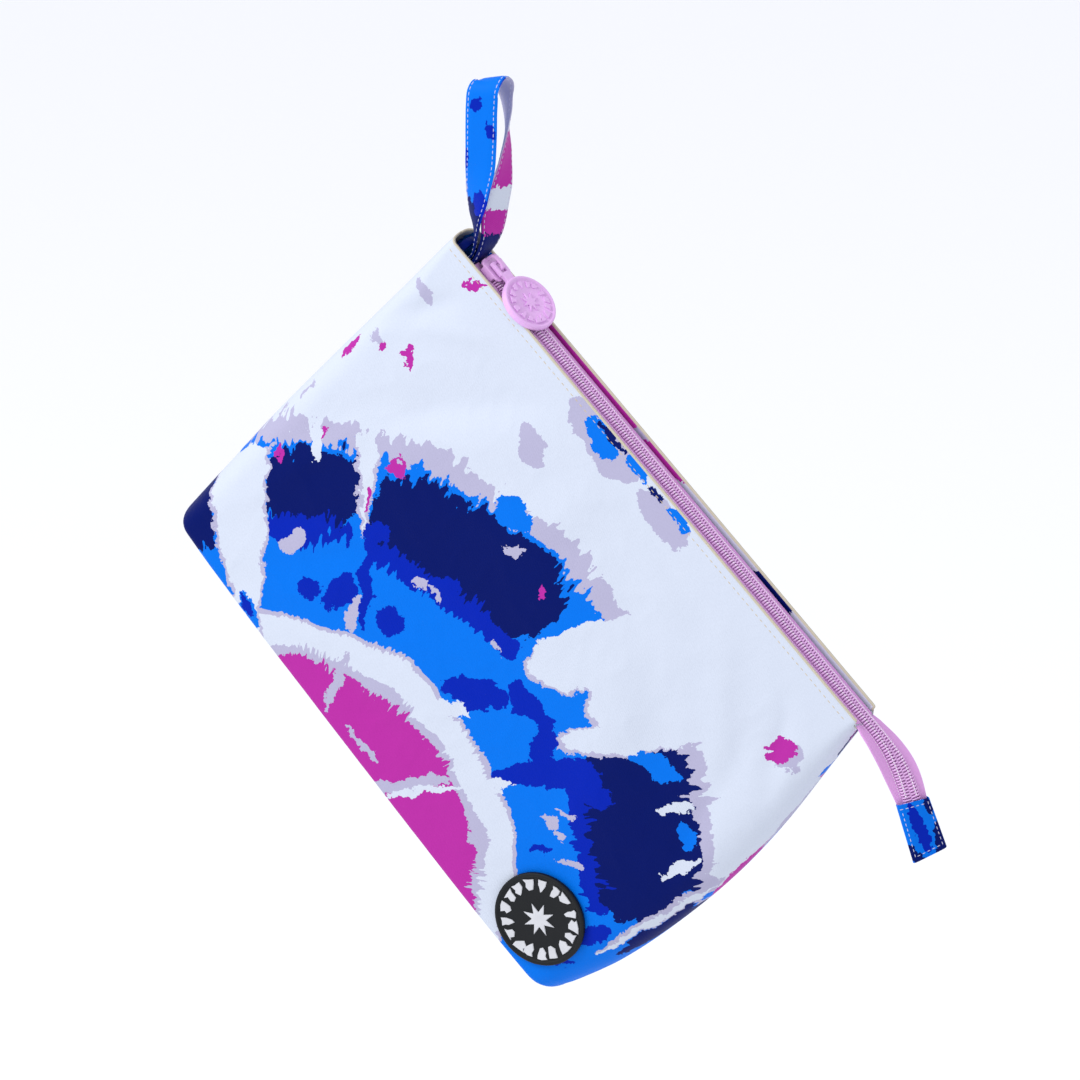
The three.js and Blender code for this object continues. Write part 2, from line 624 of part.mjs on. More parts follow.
function strap() {
  const foot = (offset, depth) => {
    const place = new THREE.Vector3(LOOP_FOOT_AT + offset, 0, -depth).applyMatrix4(toBag).add(bagPlace);
    return { place, turn: -90, tilt: 0 };
  };
  const strand = (table) => table.map((row) => ({
    place: new THREE.Vector3(row.aside * STRAP_WIDTH, row.out * LOOP_OPEN, -row.down * LOOP_DROP),
    turn: row.turn,
    tilt: row.tilt,
  }));
  const spread = STRAP_THICK / 2 + GAP;
  const crown = { place: new THREE.Vector3(STRAP_WIDTH * 0.12, 0, STRAP_THICK / 2), turn: -6, tilt: 16 };
  const keys = [
    foot(-spread, LOOP_FOOT_DEPTH),
    foot(-spread, 0.5),
    ...strand(FRONT_STRAND).reverse(),
    crown,
    ...strand(BACK_STRAND),
    foot(spread, 0.5),
    foot(spread, LOOP_FOOT_DEPTH),
  ];
  const route = new THREE.CatmullRomCurve3(keys.map((key) => key.place), false, 'centripetal');
  const last = keys.length - 1;
  const steps = last * 3;
  const outline = [[-0.5, -0.5], [0.5, -0.5], [0.5, 0.5], [-0.5, 0.5]];
  const rings = [];
  for (let i = 0; i <= steps; i += 1) {
    const share = i / steps;
    const k = Math.min(Math.floor(share * last), last - 1);
    const t = THREE.MathUtils.smoothstep(share * last - k, 0, 1) * 0.3 + (share * last - k) * 0.7;
    const turn = THREE.MathUtils.degToRad(THREE.MathUtils.lerp(keys[k].turn, keys[k + 1].turn, t));
    const tilt = THREE.MathUtils.degToRad(THREE.MathUtils.lerp(keys[k].tilt, keys[k + 1].tilt, t));
    const place = route.getPoint(share);
    const along = route.getTangent(share);
    const width = new THREE.Vector3(
      Math.cos(turn) * Math.cos(tilt), Math.sin(turn) * Math.cos(tilt), Math.sin(tilt));
    const normal = new THREE.Vector3().crossVectors(along, width).normalize();
    width.crossVectors(normal, along).normalize();
    rings.push(outline.map(([w, n]) => place.clone()
      .addScaledVector(width, w * STRAP_WIDTH)
      .addScaledVector(normal, n * STRAP_THICK)));
  }
  return loft(rings, outline.map(([w, n]) => new THREE.Vector2(w, n)));
}

// Where a flat round piece rests on the front wall: its middle, its turn and its lift.
function seatOnFront(at, drop, radius) {
  const point = (x, down) => {
    const depth = wallDepth(FRONT_FOLDS, x / BAG_LENGTH, down / BAG_HEIGHT);
    return new THREE.Vector3(x, -depth - GAP / 2, level(x, down / BAG_HEIGHT));
  };
  const middle = point(at, drop);
  const right = point(at + radius / 2, drop).sub(point(at - radius / 2, drop)).normalize();
  const up = point(at, drop - radius / 2).sub(point(at, drop + radius / 2)).normalize();
  const outward = new THREE.Vector3().crossVectors(right, up).normalize();
  let lift = 0;
  const tries = 24;
  for (let i = 0; i < tries; i += 1) {
    const angle = 2 * Math.PI * i / tries;
    [0.4, 0.7, 1].forEach((share) => {
      const x = at + radius * share * Math.cos(angle);
      const p = point(x, Math.min(drop + radius * share * Math.sin(angle), BAG_HEIGHT - BASE_ROUND));
      lift = Math.max(lift, p.sub(middle).dot(outward));
    });
  }
  const forward = new THREE.Vector3().crossVectors(up, outward);
  const turn = new THREE.Matrix4().makeBasis(forward, up, outward);
  return { place: middle.addScaledVector(outward, lift + GAP), turn };
}

// The badge is one moulding, with a raised rim, a ring of raised marks and a plain star.
function badge() {
  const radius = BADGE_D / 2;
  const top = BADGE_THICK;
  const profile = [
    [0, 0],
    [radius - 0.3, 0],
    [radius, 0.4],
    [radius, top - 0.1],
    [radius - BADGE_LIP, top + BADGE_RELIEF],
    [radius - BADGE_RIM + BADGE_LIP, top + BADGE_RELIEF],
    [radius - BADGE_RIM, top],
    [0, top],
  ].map(([r, z]) => new THREE.Vector2(r, z));
  const base = new THREE.LatheGeometry(profile, 48).rotateX(Math.PI / 2);
  const marks = [];
  for (let i = 0; i < BADGE_MARKS; i += 1) {
    const angle = 2 * Math.PI * i / BADGE_MARKS;
    const long = radius * (i % 2 ? 0.17 : 0.25);
    const wide = radius * (i % 2 ? 0.16 : 0.11);
    const shape = new THREE.Shape();
    shape.moveTo(-long / 2, -wide / 2);
    shape.lineTo(long / 2, -wide * 0.9);
    shape.lineTo(long / 2, wide * 0.9);
    shape.lineTo(-long / 2, wide / 2);
    marks.push(new THREE.ExtrudeGeometry(shape, extruded(BADGE_RELIEF * 2, 1))
      .translate(radius - BADGE_RIM - BADGE_MARK_IN - long / 2, 0, top - BADGE_RELIEF)
      .rotateZ(angle));
  }
  const star = new THREE.Shape();
  const tips = 8;
  for (let i = 0; i < 2 * tips; i += 1) {
    const angle = Math.PI * i / tips;
    const reach = radius * (i % 2 ? 0.17 : 0.38);
    if (i) star.lineTo(reach * Math.cos(angle), reach * Math.sin(angle));
    else star.moveTo(reach, 0);
  }
  marks.push(new THREE.ExtrudeGeometry(star, extruded(BADGE_RELIEF * 2, 1))
    .translate(0, 0, top - BADGE_RELIEF));
  return join(base, ...marks);
}

const pouch = new THREE.Group();
pouch.add(mesh('hang_loop', strap(), '#1279e8', 0.5));

const bag = new THREE.Group();
bag.position.copy(bagPlace);
bag.rotation.y = HANG_ANGLE;
pouch.add(bag);

bag.add(mesh('front_panel', panel(FRONT_FOLDS, -1), '#dfe6f6', 0.45));
bag.add(mesh('back_panel', panel(BACK_FOLDS, 1), '#dfe6f6', 0.45));
bag.add(mesh('zip_tape_front', zipTape(-1), '#e9aeea', 0.8));
bag.add(mesh('zip_tape_back', zipTape(1), '#e9aeea', 0.8));
bag.add(mesh('zip_coil_front', zipCoil(-1), '#e2a2e4', 0.4));
bag.add(mesh('zip_coil_back', zipCoil(1), '#e2a2e4', 0.4));
bag.add(mesh('zip_slider', slider(), '#ecb9f0', 0.35));
bag.add(mesh('start_tab', startTab(), '#0b1f6b', 0.5));
bag.add(mesh('tail_tab', tailTab(), '#0a62d8', 0.5));

const pullPlace = new THREE.Group();
pullPlace.position.set(bridgeAt, 0, plateTop + PULL_AXIS_RISE);
pullPlace.rotation.set(PULL_LEAN, PULL_PITCH, 0, 'YXZ');
pullPlace.add(mesh('zip_pull', pull(), '#f2c5fb', 0.45));
bag.add(pullPlace);

const seat = seatOnFront(BAG_LENGTH - BADGE_FROM_TAIL, BAG_HEIGHT - BADGE_ABOVE_BASE, BADGE_D / 2);
const badgePlace = new THREE.Group();
badgePlace.position.copy(seat.place);
badgePlace.setRotationFromMatrix(seat.turn);
const badgeMesh = mesh('badge', badge(), '#0c141b', 0.6);
badgeMesh.rotation.z = BADGE_TURN;
badgePlace.add(badgeMesh);
bag.add(badgePlace);

export default pouch;
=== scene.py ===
"""A soft zip pouch in printed satin, hanging by its loop, on a plain pale ground."""
import math

import bmesh
import bpy
from mathutils import Matrix, Vector, noise


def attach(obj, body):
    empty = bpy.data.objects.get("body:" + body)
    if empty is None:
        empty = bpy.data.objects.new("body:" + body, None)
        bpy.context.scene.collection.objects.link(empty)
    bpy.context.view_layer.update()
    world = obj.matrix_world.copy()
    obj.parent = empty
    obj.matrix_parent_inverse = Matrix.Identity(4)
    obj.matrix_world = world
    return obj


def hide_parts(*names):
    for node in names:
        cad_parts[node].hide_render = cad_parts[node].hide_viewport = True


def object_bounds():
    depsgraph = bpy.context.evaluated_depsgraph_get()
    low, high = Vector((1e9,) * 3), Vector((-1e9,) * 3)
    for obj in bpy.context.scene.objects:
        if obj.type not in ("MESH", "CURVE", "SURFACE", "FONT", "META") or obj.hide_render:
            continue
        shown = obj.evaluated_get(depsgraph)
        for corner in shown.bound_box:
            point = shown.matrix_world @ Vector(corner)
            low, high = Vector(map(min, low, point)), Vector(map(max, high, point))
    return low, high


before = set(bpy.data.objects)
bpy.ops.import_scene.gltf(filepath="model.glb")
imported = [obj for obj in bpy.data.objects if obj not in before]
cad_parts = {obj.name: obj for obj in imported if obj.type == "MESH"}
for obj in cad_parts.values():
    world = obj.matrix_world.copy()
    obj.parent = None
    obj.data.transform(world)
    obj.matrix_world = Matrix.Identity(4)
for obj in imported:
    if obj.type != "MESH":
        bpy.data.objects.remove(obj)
cad_low, cad_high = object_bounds()


# The studio: a long lens at the photo's angle, a large soft box up on the left, a weaker one on
# the right, a pale even sky, and a plain floor far enough down to take no shadow in the picture.
VIEW_AZIMUTH = math.radians(29)
VIEW_ELEVATION = math.radians(21.5)
VIEW_AIM = Vector((0.0273, 0.0, -0.2252))
VIEW_WIDTH = 0.5167
LENS_MM = 200.0
SENSOR_MM = 36.0
FLOOR_DROP = 0.55
FLOOR_HALF = 9.0
FLOOR_COLOUR = "#FFFFFF"
SKY_COLOUR = "#F6F8FF"
SKY_STRENGTH = 0.97
SOFT_BOXES = [
    {"name": "key_light", "azimuth": -38, "elevation": 42, "away": 2.2, "size": 1.1, "watts": 26},
    {"name": "fill_light", "azimuth": 75, "elevation": 20, "away": 2.6, "size": 2.0, "watts": 1},
]


def linear(hexa):
    """An sRGB hex colour as the linear values that a shader takes."""
    parts = [int(hexa[i:i + 2], 16) / 255 for i in (1, 3, 5)]
    return tuple(c / 12.92 if c <= 0.04045 else ((c + 0.055) / 1.055) ** 2.4 for c in parts) + (1.0,)


def feed(tree, made, inputs):
    """Gives a node its inputs, by name or in order: numbers, colours, other nodes or their outputs."""
    for key, value in inputs.items() if isinstance(inputs, dict) else enumerate(inputs):
        if isinstance(value, bpy.types.Node):
            value = next(out for out in value.outputs if out.enabled)
        if isinstance(value, bpy.types.NodeSocket):
            tree.links.new(value, made.inputs[key])
        else:
            made.inputs[key].default_value = value


def add(tree, kind, inputs=(), **settings):
    """Adds a shader node with its settings and inputs."""
    made = tree.nodes.new("ShaderNode" + kind)
    for name, value in settings.items():
        setattr(made, name, value)
    feed(tree, made, inputs)
    return made


def new_material(name):
    """An empty material: its node tree, and the Principled shader that reaches the surface."""
    material = bpy.data.materials.new(name)
    material.use_nodes = True
    material.node_tree.nodes.clear()
    shader = add(material.node_tree, "BsdfPrincipled")
    add(material.node_tree, "OutputMaterial", {"Surface": shader})
    return material, material.node_tree, shader


def new_object(name, points, faces, material, smooth=True):
    """A mesh object from points in metres."""
    shape = bpy.data.meshes.new(name)
    shape.from_pydata(points, [], faces)
    shape.validate()
    shape.polygons.foreach_set("use_smooth", [smooth] * len(shape.polygons))
    shape.materials.append(material)
    made = bpy.data.objects.new(name, shape)
    bpy.context.scene.collection.objects.link(made)
    return made


def direction(azimuth, elevation):
    """The way from the pouch to something round it. Azimuth 0 is in front, towards -Y."""
    return Vector((math.sin(azimuth) * math.cos(elevation), -math.cos(azimuth) * math.cos(elevation),
                   math.sin(elevation)))


def look_at(made, place, aim):
    made.location = place
    made.rotation_euler = (aim - place).to_track_quat("-Z", "Y").to_euler()
    bpy.context.scene.collection.objects.link(made)


lens = bpy.data.cameras.new("camera")
lens.lens = LENS_MM
lens.sensor_width = SENSOR_MM
view_distance = VIEW_WIDTH * LENS_MM / SENSOR_MM
camera = bpy.data.objects.new("camera", lens)
look_at(camera, VIEW_AIM + direction(VIEW_AZIMUTH, VIEW_ELEVATION) * view_distance, VIEW_AIM)
bpy.context.scene.camera = camera
bpy.context.scene.view_settings.view_transform = "Standard"

for box in SOFT_BOXES:
    lamp = bpy.data.lights.new(box["name"], "AREA")
    lamp.shape = "DISK"
    lamp.size = box["size"]
    lamp.energy = box["watts"]
    away = direction(math.radians(box["azimuth"]), math.radians(box["elevation"])) * box["away"]
    look_at(bpy.data.objects.new(box["name"], lamp), VIEW_AIM + away, VIEW_AIM)

sky = bpy.data.worlds.new("sky")
sky.use_nodes = True
sky.node_tree.nodes.clear()
glow = add(sky.node_tree, "Background", {"Color": linear(SKY_COLOUR), "Strength": SKY_STRENGTH})
add(sky.node_tree, "OutputWorld", {"Surface": glow})
bpy.context.scene.world = sky

# Uncoated paper: fully matt, so that it gives no highlight.
paper, paper_tree, paper_shader = new_material("matt_backdrop_paper")
feed(paper_tree, paper_shader, {"Base Color": linear(FLOOR_COLOUR), "Roughness": 1.0})
floor_level = cad_low.z - FLOOR_DROP
corners = [(-FLOOR_HALF, -FLOOR_HALF), (FLOOR_HALF, -FLOOR_HALF), (FLOOR_HALF, FLOOR_HALF),
           (-FLOOR_HALF, FLOOR_HALF)]
ground = new_object("floor", [(x, y, floor_level) for x, y in corners], [(0, 1, 2, 3)], paper, False)


# The two walls: printed polyester satin, each cut with half of the boxed base and of both side
# gussets. A seam down each side and along the base joins them, and their hems hold the zip.
# In millimetres: x along the zip from the loop, y to the back, z up to the mouth.
MM = 0.001
HANG_ANGLE = math.radians(43)
GAP = 0.3
BAG_LENGTH = 300
BAG_HEIGHT = 227
BASE_DEPTH = 56
MOUTH_WIDTH = 20
CLOTH = 1.2
BASE_ROUND = 4
BASE_SLANT = 7
BASE_SAG = 3
BELLY = 2.4
HEM_DEEP = 9.0
HEM_RISE = 0.35
SEAM_PINCH = 0.5
HEM_FADE = 1.6
BADGE_ALONG = BAG_LENGTH - 30
BADGE_DOWN = BAG_HEIGHT - 29
BADGE_FLAT = 24
BADGE_CLEAR = 38
CREASE_MM = 26
CREASE_BROAD = 0.5
CREASE_SHARP = 0.3
CAP_ROUND = 0.8
CAP_STEPS = 16
FLAT_STEPS = 150
WALL_ROWS = 118
ROUND_STEPS = 6
BASE_STEPS = 12


def table(columns, *rows):
    """Rows of values, each value under the name of its column."""
    return [dict(zip(columns.split(), row)) for row in rows]


# Level sections of the pouch, from the mouth down. down is a share of BAG_HEIGHT. loop_end and
# tail_end are how far the side seams stand out, as shares of BAG_LENGTH. depth is the share of
# the way from the mouth's half width to the base's, and the caps are the lengths of the
# rounded ends, as shares of the section's half depth.
SECTIONS = table(
    "down loop_end tail_end depth loop_cap tail_cap",
    (0.00,  0.000, 0.000, 0.00, 0.45, 0.45),
    (0.05,  0.001, 0.004, 0.04, 0.55, 0.70),
    (0.16,  0.001, 0.018, 0.15, 0.80, 1.20),
    (0.32,  0.002, 0.038, 0.34, 0.90, 1.45),
    (0.50,  0.003, 0.050, 0.53, 0.85, 1.40),
    (0.68,  0.002, 0.048, 0.72, 0.75, 1.15),
    (0.84, -0.003, 0.036, 0.88, 0.60, 0.90),
    (0.95, -0.007, 0.016, 0.98, 0.45, 0.66),
    (1.00, -0.009, 0.002, 1.00, 0.40, 0.56),
)

# Soft folds, pressed in (-) or out (+). along and down are the middle of the fold as shares of
# the length and height, turn is its lie from the zip's line in degrees, long and wide its half
# sizes as shares of the length, and rise a share of BELLY. The creases are the sharper folds,
# which the solids leave out.
FRONT_FOLDS = table(
    "along down turn long wide rise",
    (0.16, 0.30,  62, 0.22, 0.045, -0.55),
    (0.30, 0.22,  48, 0.17, 0.050, 0.50),
    (0.62, 0.45, -20, 0.24, 0.060, 0.45),
    (0.82, 0.40, -52, 0.20, 0.045, -0.60),
    (0.90, 0.62, -64, 0.16, 0.040, 0.40),
)
BACK_FOLDS = table(
    "along down turn long wide rise",
    (0.20, 0.34,  56, 0.22, 0.050, -0.60),
    (0.52, 0.50, -12, 0.28, 0.070, 0.60),
    (0.80, 0.36, -48, 0.20, 0.050, -0.55),
)
FRONT_CREASES = table(
    "along down turn long wide rise",
    (0.06, 0.14,  66, 0.10, 0.016, -0.60),
    (0.13, 0.12,  44, 0.12, 0.018, 0.50),
    (0.22, 0.22,  58, 0.18, 0.026, -0.65),
    (0.44, 0.20,  80, 0.14, 0.040, 0.50),
    (0.93, 0.16, -58, 0.12, 0.020, -0.80),
    (0.85, 0.24, -48, 0.20, 0.028, 0.75),
    (0.95, 0.44, -74, 0.18, 0.022, -0.70),
    (0.68, 0.28, -30, 0.20, 0.045, -0.60),
    (0.10, 0.62,  80, 0.16, 0.022, 0.50),
    (0.25, 0.70,  62, 0.18, 0.030, -0.45),
    (0.40, 0.90,   8, 0.18, 0.020, -0.40),
    (0.55, 0.08, -12, 0.16, 0.020, -0.50),
    (0.78, 0.52, -62, 0.22, 0.050, 0.70),
    (0.90, 0.34, -58, 0.26, 0.060, -0.90),
)
BACK_CREASES = table(
    "along down turn long wide rise",
    (0.08, 0.16,  60, 0.10, 0.015, -0.32),
    (0.90, 0.18, -54, 0.12, 0.016, -0.34),
    (0.30, 0.24,  34, 0.16, 0.020, 0.24),
    (0.70, 0.70, -30, 0.18, 0.020, -0.24),
    (0.16, 0.80,  50, 0.12, 0.016, 0.26),
)
SIDES = ((-1, "front", FRONT_FOLDS, FRONT_CREASES), (1, "back", BACK_FOLDS, BACK_CREASES))
mouth_half = MOUTH_WIDTH / 2
mouth_inside = mouth_half - CLOTH - GAP


def ease(x, low, high):
    """From 0 at low to 1 at high, with soft ends."""
    t = min(max((x - low) / (high - low), 0.0), 1.0)
    return t * t * (3 - 2 * t)


def read(table, key, name, at):
    """One column of a table at a position, along a smooth curve through its rows."""
    last = len(table) - 1
    i = 0
    while i < last - 1 and at > table[i + 1][key]:
        i += 1
    span = table[i + 1][key] - table[i][key]
    t = min(max((at - table[i][key]) / span, 0.0), 1.0)

    def slope(k):
        a, b = table[max(k - 1, 0)], table[min(k + 1, last)]
        return (b[name] - a[name]) / (b[key] - a[key])

    t2, t3 = t * t, t * t * t
    return ((2 * t3 - 3 * t2 + 1) * table[i][name] + (t3 - 2 * t2 + t) * span * slope(i)
            + (3 * t2 - 2 * t3) * table[i + 1][name] + (t3 - t2) * span * slope(i + 1))


def fold_rise(folds, along, down):
    """How far the folds lift a wall at a place given as shares along and down."""
    total = 0.0
    for fold in folds:
        turn = math.radians(fold["turn"])
        x = along - fold["along"]
        z = (fold["down"] - down) * BAG_HEIGHT / BAG_LENGTH
        p = (x * math.cos(turn) + z * math.sin(turn)) / fold["long"]
        q = (z * math.cos(turn) - x * math.sin(turn)) / fold["wide"]
        if p * p + q * q < 9:
            total += fold["rise"] * BELLY * math.exp(-(p * p + q * q))
    return total


def wall_depth(folds, along, down):
    """How far the flat of a wall stands from the plane of the seams."""
    depth = read(SECTIONS, "down", "depth", down)
    free = ease(down, 0, 0.25) * ease(1 - down, 0, 0.2)
    middle = ease(along, 0.02, 0.35) * ease(1 - along, 0.02, 0.35)
    edge = (ease(down, 0.01, 0.12) * ease(1 - down, 0.02, 0.12)
            * ease(along, 0.0, 0.08) * ease(1 - along, 0.0, 0.08))
    return (mouth_half + (BASE_DEPTH / 2 - mouth_half) * depth + BELLY * free * middle
            + edge * fold_rise(folds, along, down))


def level(x, down):
    """The height of a section at a place along it: the base slants and sags a little."""
    off = min(max(2 * x / BAG_LENGTH - 1, -1), 1)
    return -BAG_HEIGHT * down - BASE_SLANT * off * down - BASE_SAG * (1 - off ** 4) * down ** 3


def crumple(x, drop, side):
    """The small unevenness of cloth that was folded in a drawer, in millimetres."""
    at = Vector((x / CREASE_MM, drop / CREASE_MM, 5.0 * side))
    broad = noise.noise(at)
    sharp = 1 - abs(noise.noise(at * 1.7 + Vector((9.0, 4.0, 2.0)))) * 2
    return CREASE_BROAD * broad + CREASE_SHARP * max(sharp, 0.0) ** 3


def section(folds, creases, side, down, inset, sink):
    """One level section of a wall, from the loop's seam to the tail's."""
    half = wall_depth(folds, 0, down)
    thin = (half - inset) / half
    start = -read(SECTIONS, "down", "loop_end", down) * BAG_LENGTH + inset
    end = BAG_LENGTH + read(SECTIONS, "down", "tail_end", down) * BAG_LENGTH - inset
    loop_cap = read(SECTIONS, "down", "loop_cap", down) * half * thin
    tail_cap = read(SECTIONS, "down", "tail_cap", down) * half * thin
    hem = HEM_RISE * (1 - ease(down * BAG_HEIGHT, HEM_DEEP - HEM_FADE, HEM_DEEP))
    loose = ease(down, 0.05, 0.14) * ease(1 - down, 0.0, 0.05)
    flat = end - start - loop_cap - tail_cap
    angles = [math.pi / 2 * i / CAP_STEPS for i in range(CAP_STEPS + 1)]
    cap = [(1 - math.cos(angle) ** CAP_ROUND, math.sin(angle) ** CAP_ROUND) for angle in angles]
    places = [(start + loop_cap * along, reach) for along, reach in cap]
    places += [(start + loop_cap + flat * i / FLAT_STEPS, 1.0) for i in range(1, FLAT_STEPS)]
    places += [(end - tail_cap * along, reach) for along, reach in reversed(cap)]
    points = []
    for x, reach in places:
        along = min(max(x / BAG_LENGTH, 0), 1)
        depth = wall_depth(folds, along, down)
        from_badge = math.hypot(x - BADGE_ALONG, down * BAG_HEIGHT - BADGE_DOWN)
        off_badge = ease(from_badge, BADGE_FLAT, BADGE_CLEAR) if side < 0 else 1.0
        free = loose * ease(reach, 0.3, 1.0) * off_badge
        depth += free * (fold_rise(creases, along, down) + crumple(x, down * BAG_HEIGHT, side))
        depth = depth * thin * reach + hem * reach - SEAM_PINCH * (1 - reach) * ease(down, 0.05, 0.2)
        y = side * (max(depth, 0.0) + GAP / 2)
        points.append(Vector((x, y, level(x, down) + sink)))
    return points


def hung(p):
    """From the pouch's own frame to the frame in which it hangs, in millimetres."""
    return bag_turn @ p + bag_place


def to_world(p):
    return hung(p) * MM


# The pouch hangs from the foot of the loop, turned by HANG_ANGLE.
LOOP_DROP = 84
LOOP_LEAN = -5.2
LOOP_FOOT_AT = 14
STRAP_THICK = 2
bag_turn = Matrix.Rotation(HANG_ANGLE, 3, "Y")
bag_place = Vector((LOOP_LEAN, 0, -LOOP_DROP - STRAP_THICK)) - bag_turn @ Vector((LOOP_FOOT_AT, 0, 0))
TAPE_THICK = 0.8
TAPE_DEPTH = 2.6
tail_notch = TAPE_DEPTH + TAPE_THICK + GAP + 0.2


def lay(shape, places):
    """Gives each point of a mesh its place on the cloth."""
    laid = shape.attributes.new("cloth", "FLOAT_VECTOR", "POINT")
    laid.data.foreach_set("vector", [c for place in places for c in place])


def wall(name, folds, creases, side, material):
    """One wall from the mouth down, round the corner and on to the middle of the base."""
    round_share = BASE_ROUND / BAG_HEIGHT
    half = wall_depth(folds, 0, 1 - round_share)
    path = [((1 - round_share) * r / WALL_ROWS, 0.0, 0.0) for r in range(WALL_ROWS + 1)]
    for r in range(1, ROUND_STEPS + 1):
        angle = math.pi / 2 * r / ROUND_STEPS
        path.append((1 - round_share, BASE_ROUND * (1 - math.cos(angle)), -BASE_ROUND * math.sin(angle)))
    for r in range(1, BASE_STEPS + 1):
        path.append((1 - round_share, BASE_ROUND + (half - BASE_ROUND) * r / BASE_STEPS, -BASE_ROUND))
    rows = [section(folds, creases, side, *step) for step in path]
    for p in rows[0]:
        end = ease(p.x, BAG_LENGTH * 0.97, BAG_LENGTH * 0.985)
        p.z -= tail_notch * end * (1 - ease(abs(p.y), mouth_inside + GAP, mouth_half))

    # The cloth's own coordinates, in millimetres as it lay flat for printing: across from the
    # loop's corner along the zip, and down from the mouth over the wall and on under the base.
    columns = len(rows[0])
    middle = columns // 2
    run_down = [0.0] * columns
    cloth = []
    for r, row in enumerate(rows):
        if r:
            run_down = [d + (a - b).length for d, a, b in zip(run_down, row, rows[r - 1])]
        across = [0.0] * columns
        across[middle] = row[middle].x
        for i in range(middle + 1, columns):
            across[i] = across[i - 1] + (row[i].xy - row[i - 1].xy).length
        for i in range(middle - 1, -1, -1):
            across[i] = across[i + 1] - (row[i].xy - row[i + 1].xy).length
        cloth += [(u, -d, side) for u, d in zip(across, run_down)]

    faces = []
    for r in range(len(rows) - 1):
        for i in range(columns - 1):
            a, b = r * columns + i, (r + 1) * columns + i
            faces.append((a, b, b + 1, a + 1) if side < 0 else (a, a + 1, b + 1, b))
    made = new_object(name, [to_world(p) for row in rows for p in row], faces, material)
    lay(made.data, cloth)
    thick = made.modifiers.new("cloth_thickness", "SOLIDIFY")
    thick.thickness = CLOTH * MM
    thick.offset = -1
    return made


# The print: a ring dye in the cloth's own plane, in flat colours with hard ragged edges as a
# rotary screen lays them. It is charted from how such a dye spreads: rings round a knot, pale
# rays where cord held the cloth, dark blocks between the rays, and stray drops.
WHITE, LILAC, AZURE = "#C7CEDB", "#ABA8C2", "#006CD9"
ROYAL, NAVY, MAGENTA, CREAM = "#0021A4", "#01125C", "#AD2B97", "#CDC4AE"
THREAD_MM = 0.9
RAY_FRINGE = 1.7
SPIKE_MM = 3.2
SPIKE_REACH = 15.0
SPELL_MM = 17.0
CALM_RADIUS = 128.0
CALM_DEEP = 42.0
LUMP_MM = 11.0
LUMP_REACH = 12.0
SWAY_MM = 42.0
SWAY_REACH = 14.0
RAMP_MM = 300.0
POLAR_MM = 188.0
HEM_TURN = 0.8
CRUSH_MM = 14.0
BATCH = 20

# Rings from the knot outwards: each colour with the radius in millimetres at which it starts.
RINGS = table("at dye",
    (0, MAGENTA), (103, LILAC), (107, WHITE), (121, LILAC), (124, AZURE), (208, LILAC), (219, WHITE))
# Blocks and bands on the rings. turn is in degrees round the knot from the right, sweep and
# deep are the half sizes round the ring in degrees and across it in millimetres.
FRONT_ARCS = table(
    "turn radius sweep deep dye",
    (  82, 166,  7.5,  6, ROYAL),
    (  56, 165,   16,  7, ROYAL),
    (   6, 164, 13.5,  8, ROYAL),
    ( 103, 184,  5.4, 24, NAVY),
    (  82, 188,  7.4, 18, NAVY),
    (56.5, 187, 16.2, 19, NAVY),
    (   6, 188,   14, 23, NAVY),
)
# Pale rays that open outwards from a tip. x and y are in millimetres right and up from the
# loop's corner as the pouch hangs, turn in degrees, and open the half width gained a millimetre.
FRONT_RAYS = table(
    "x y turn open reach",
    (-99, -215,   94, 0.148, 118),
    (-42, -141, 87.6, 0.105, 50),
)
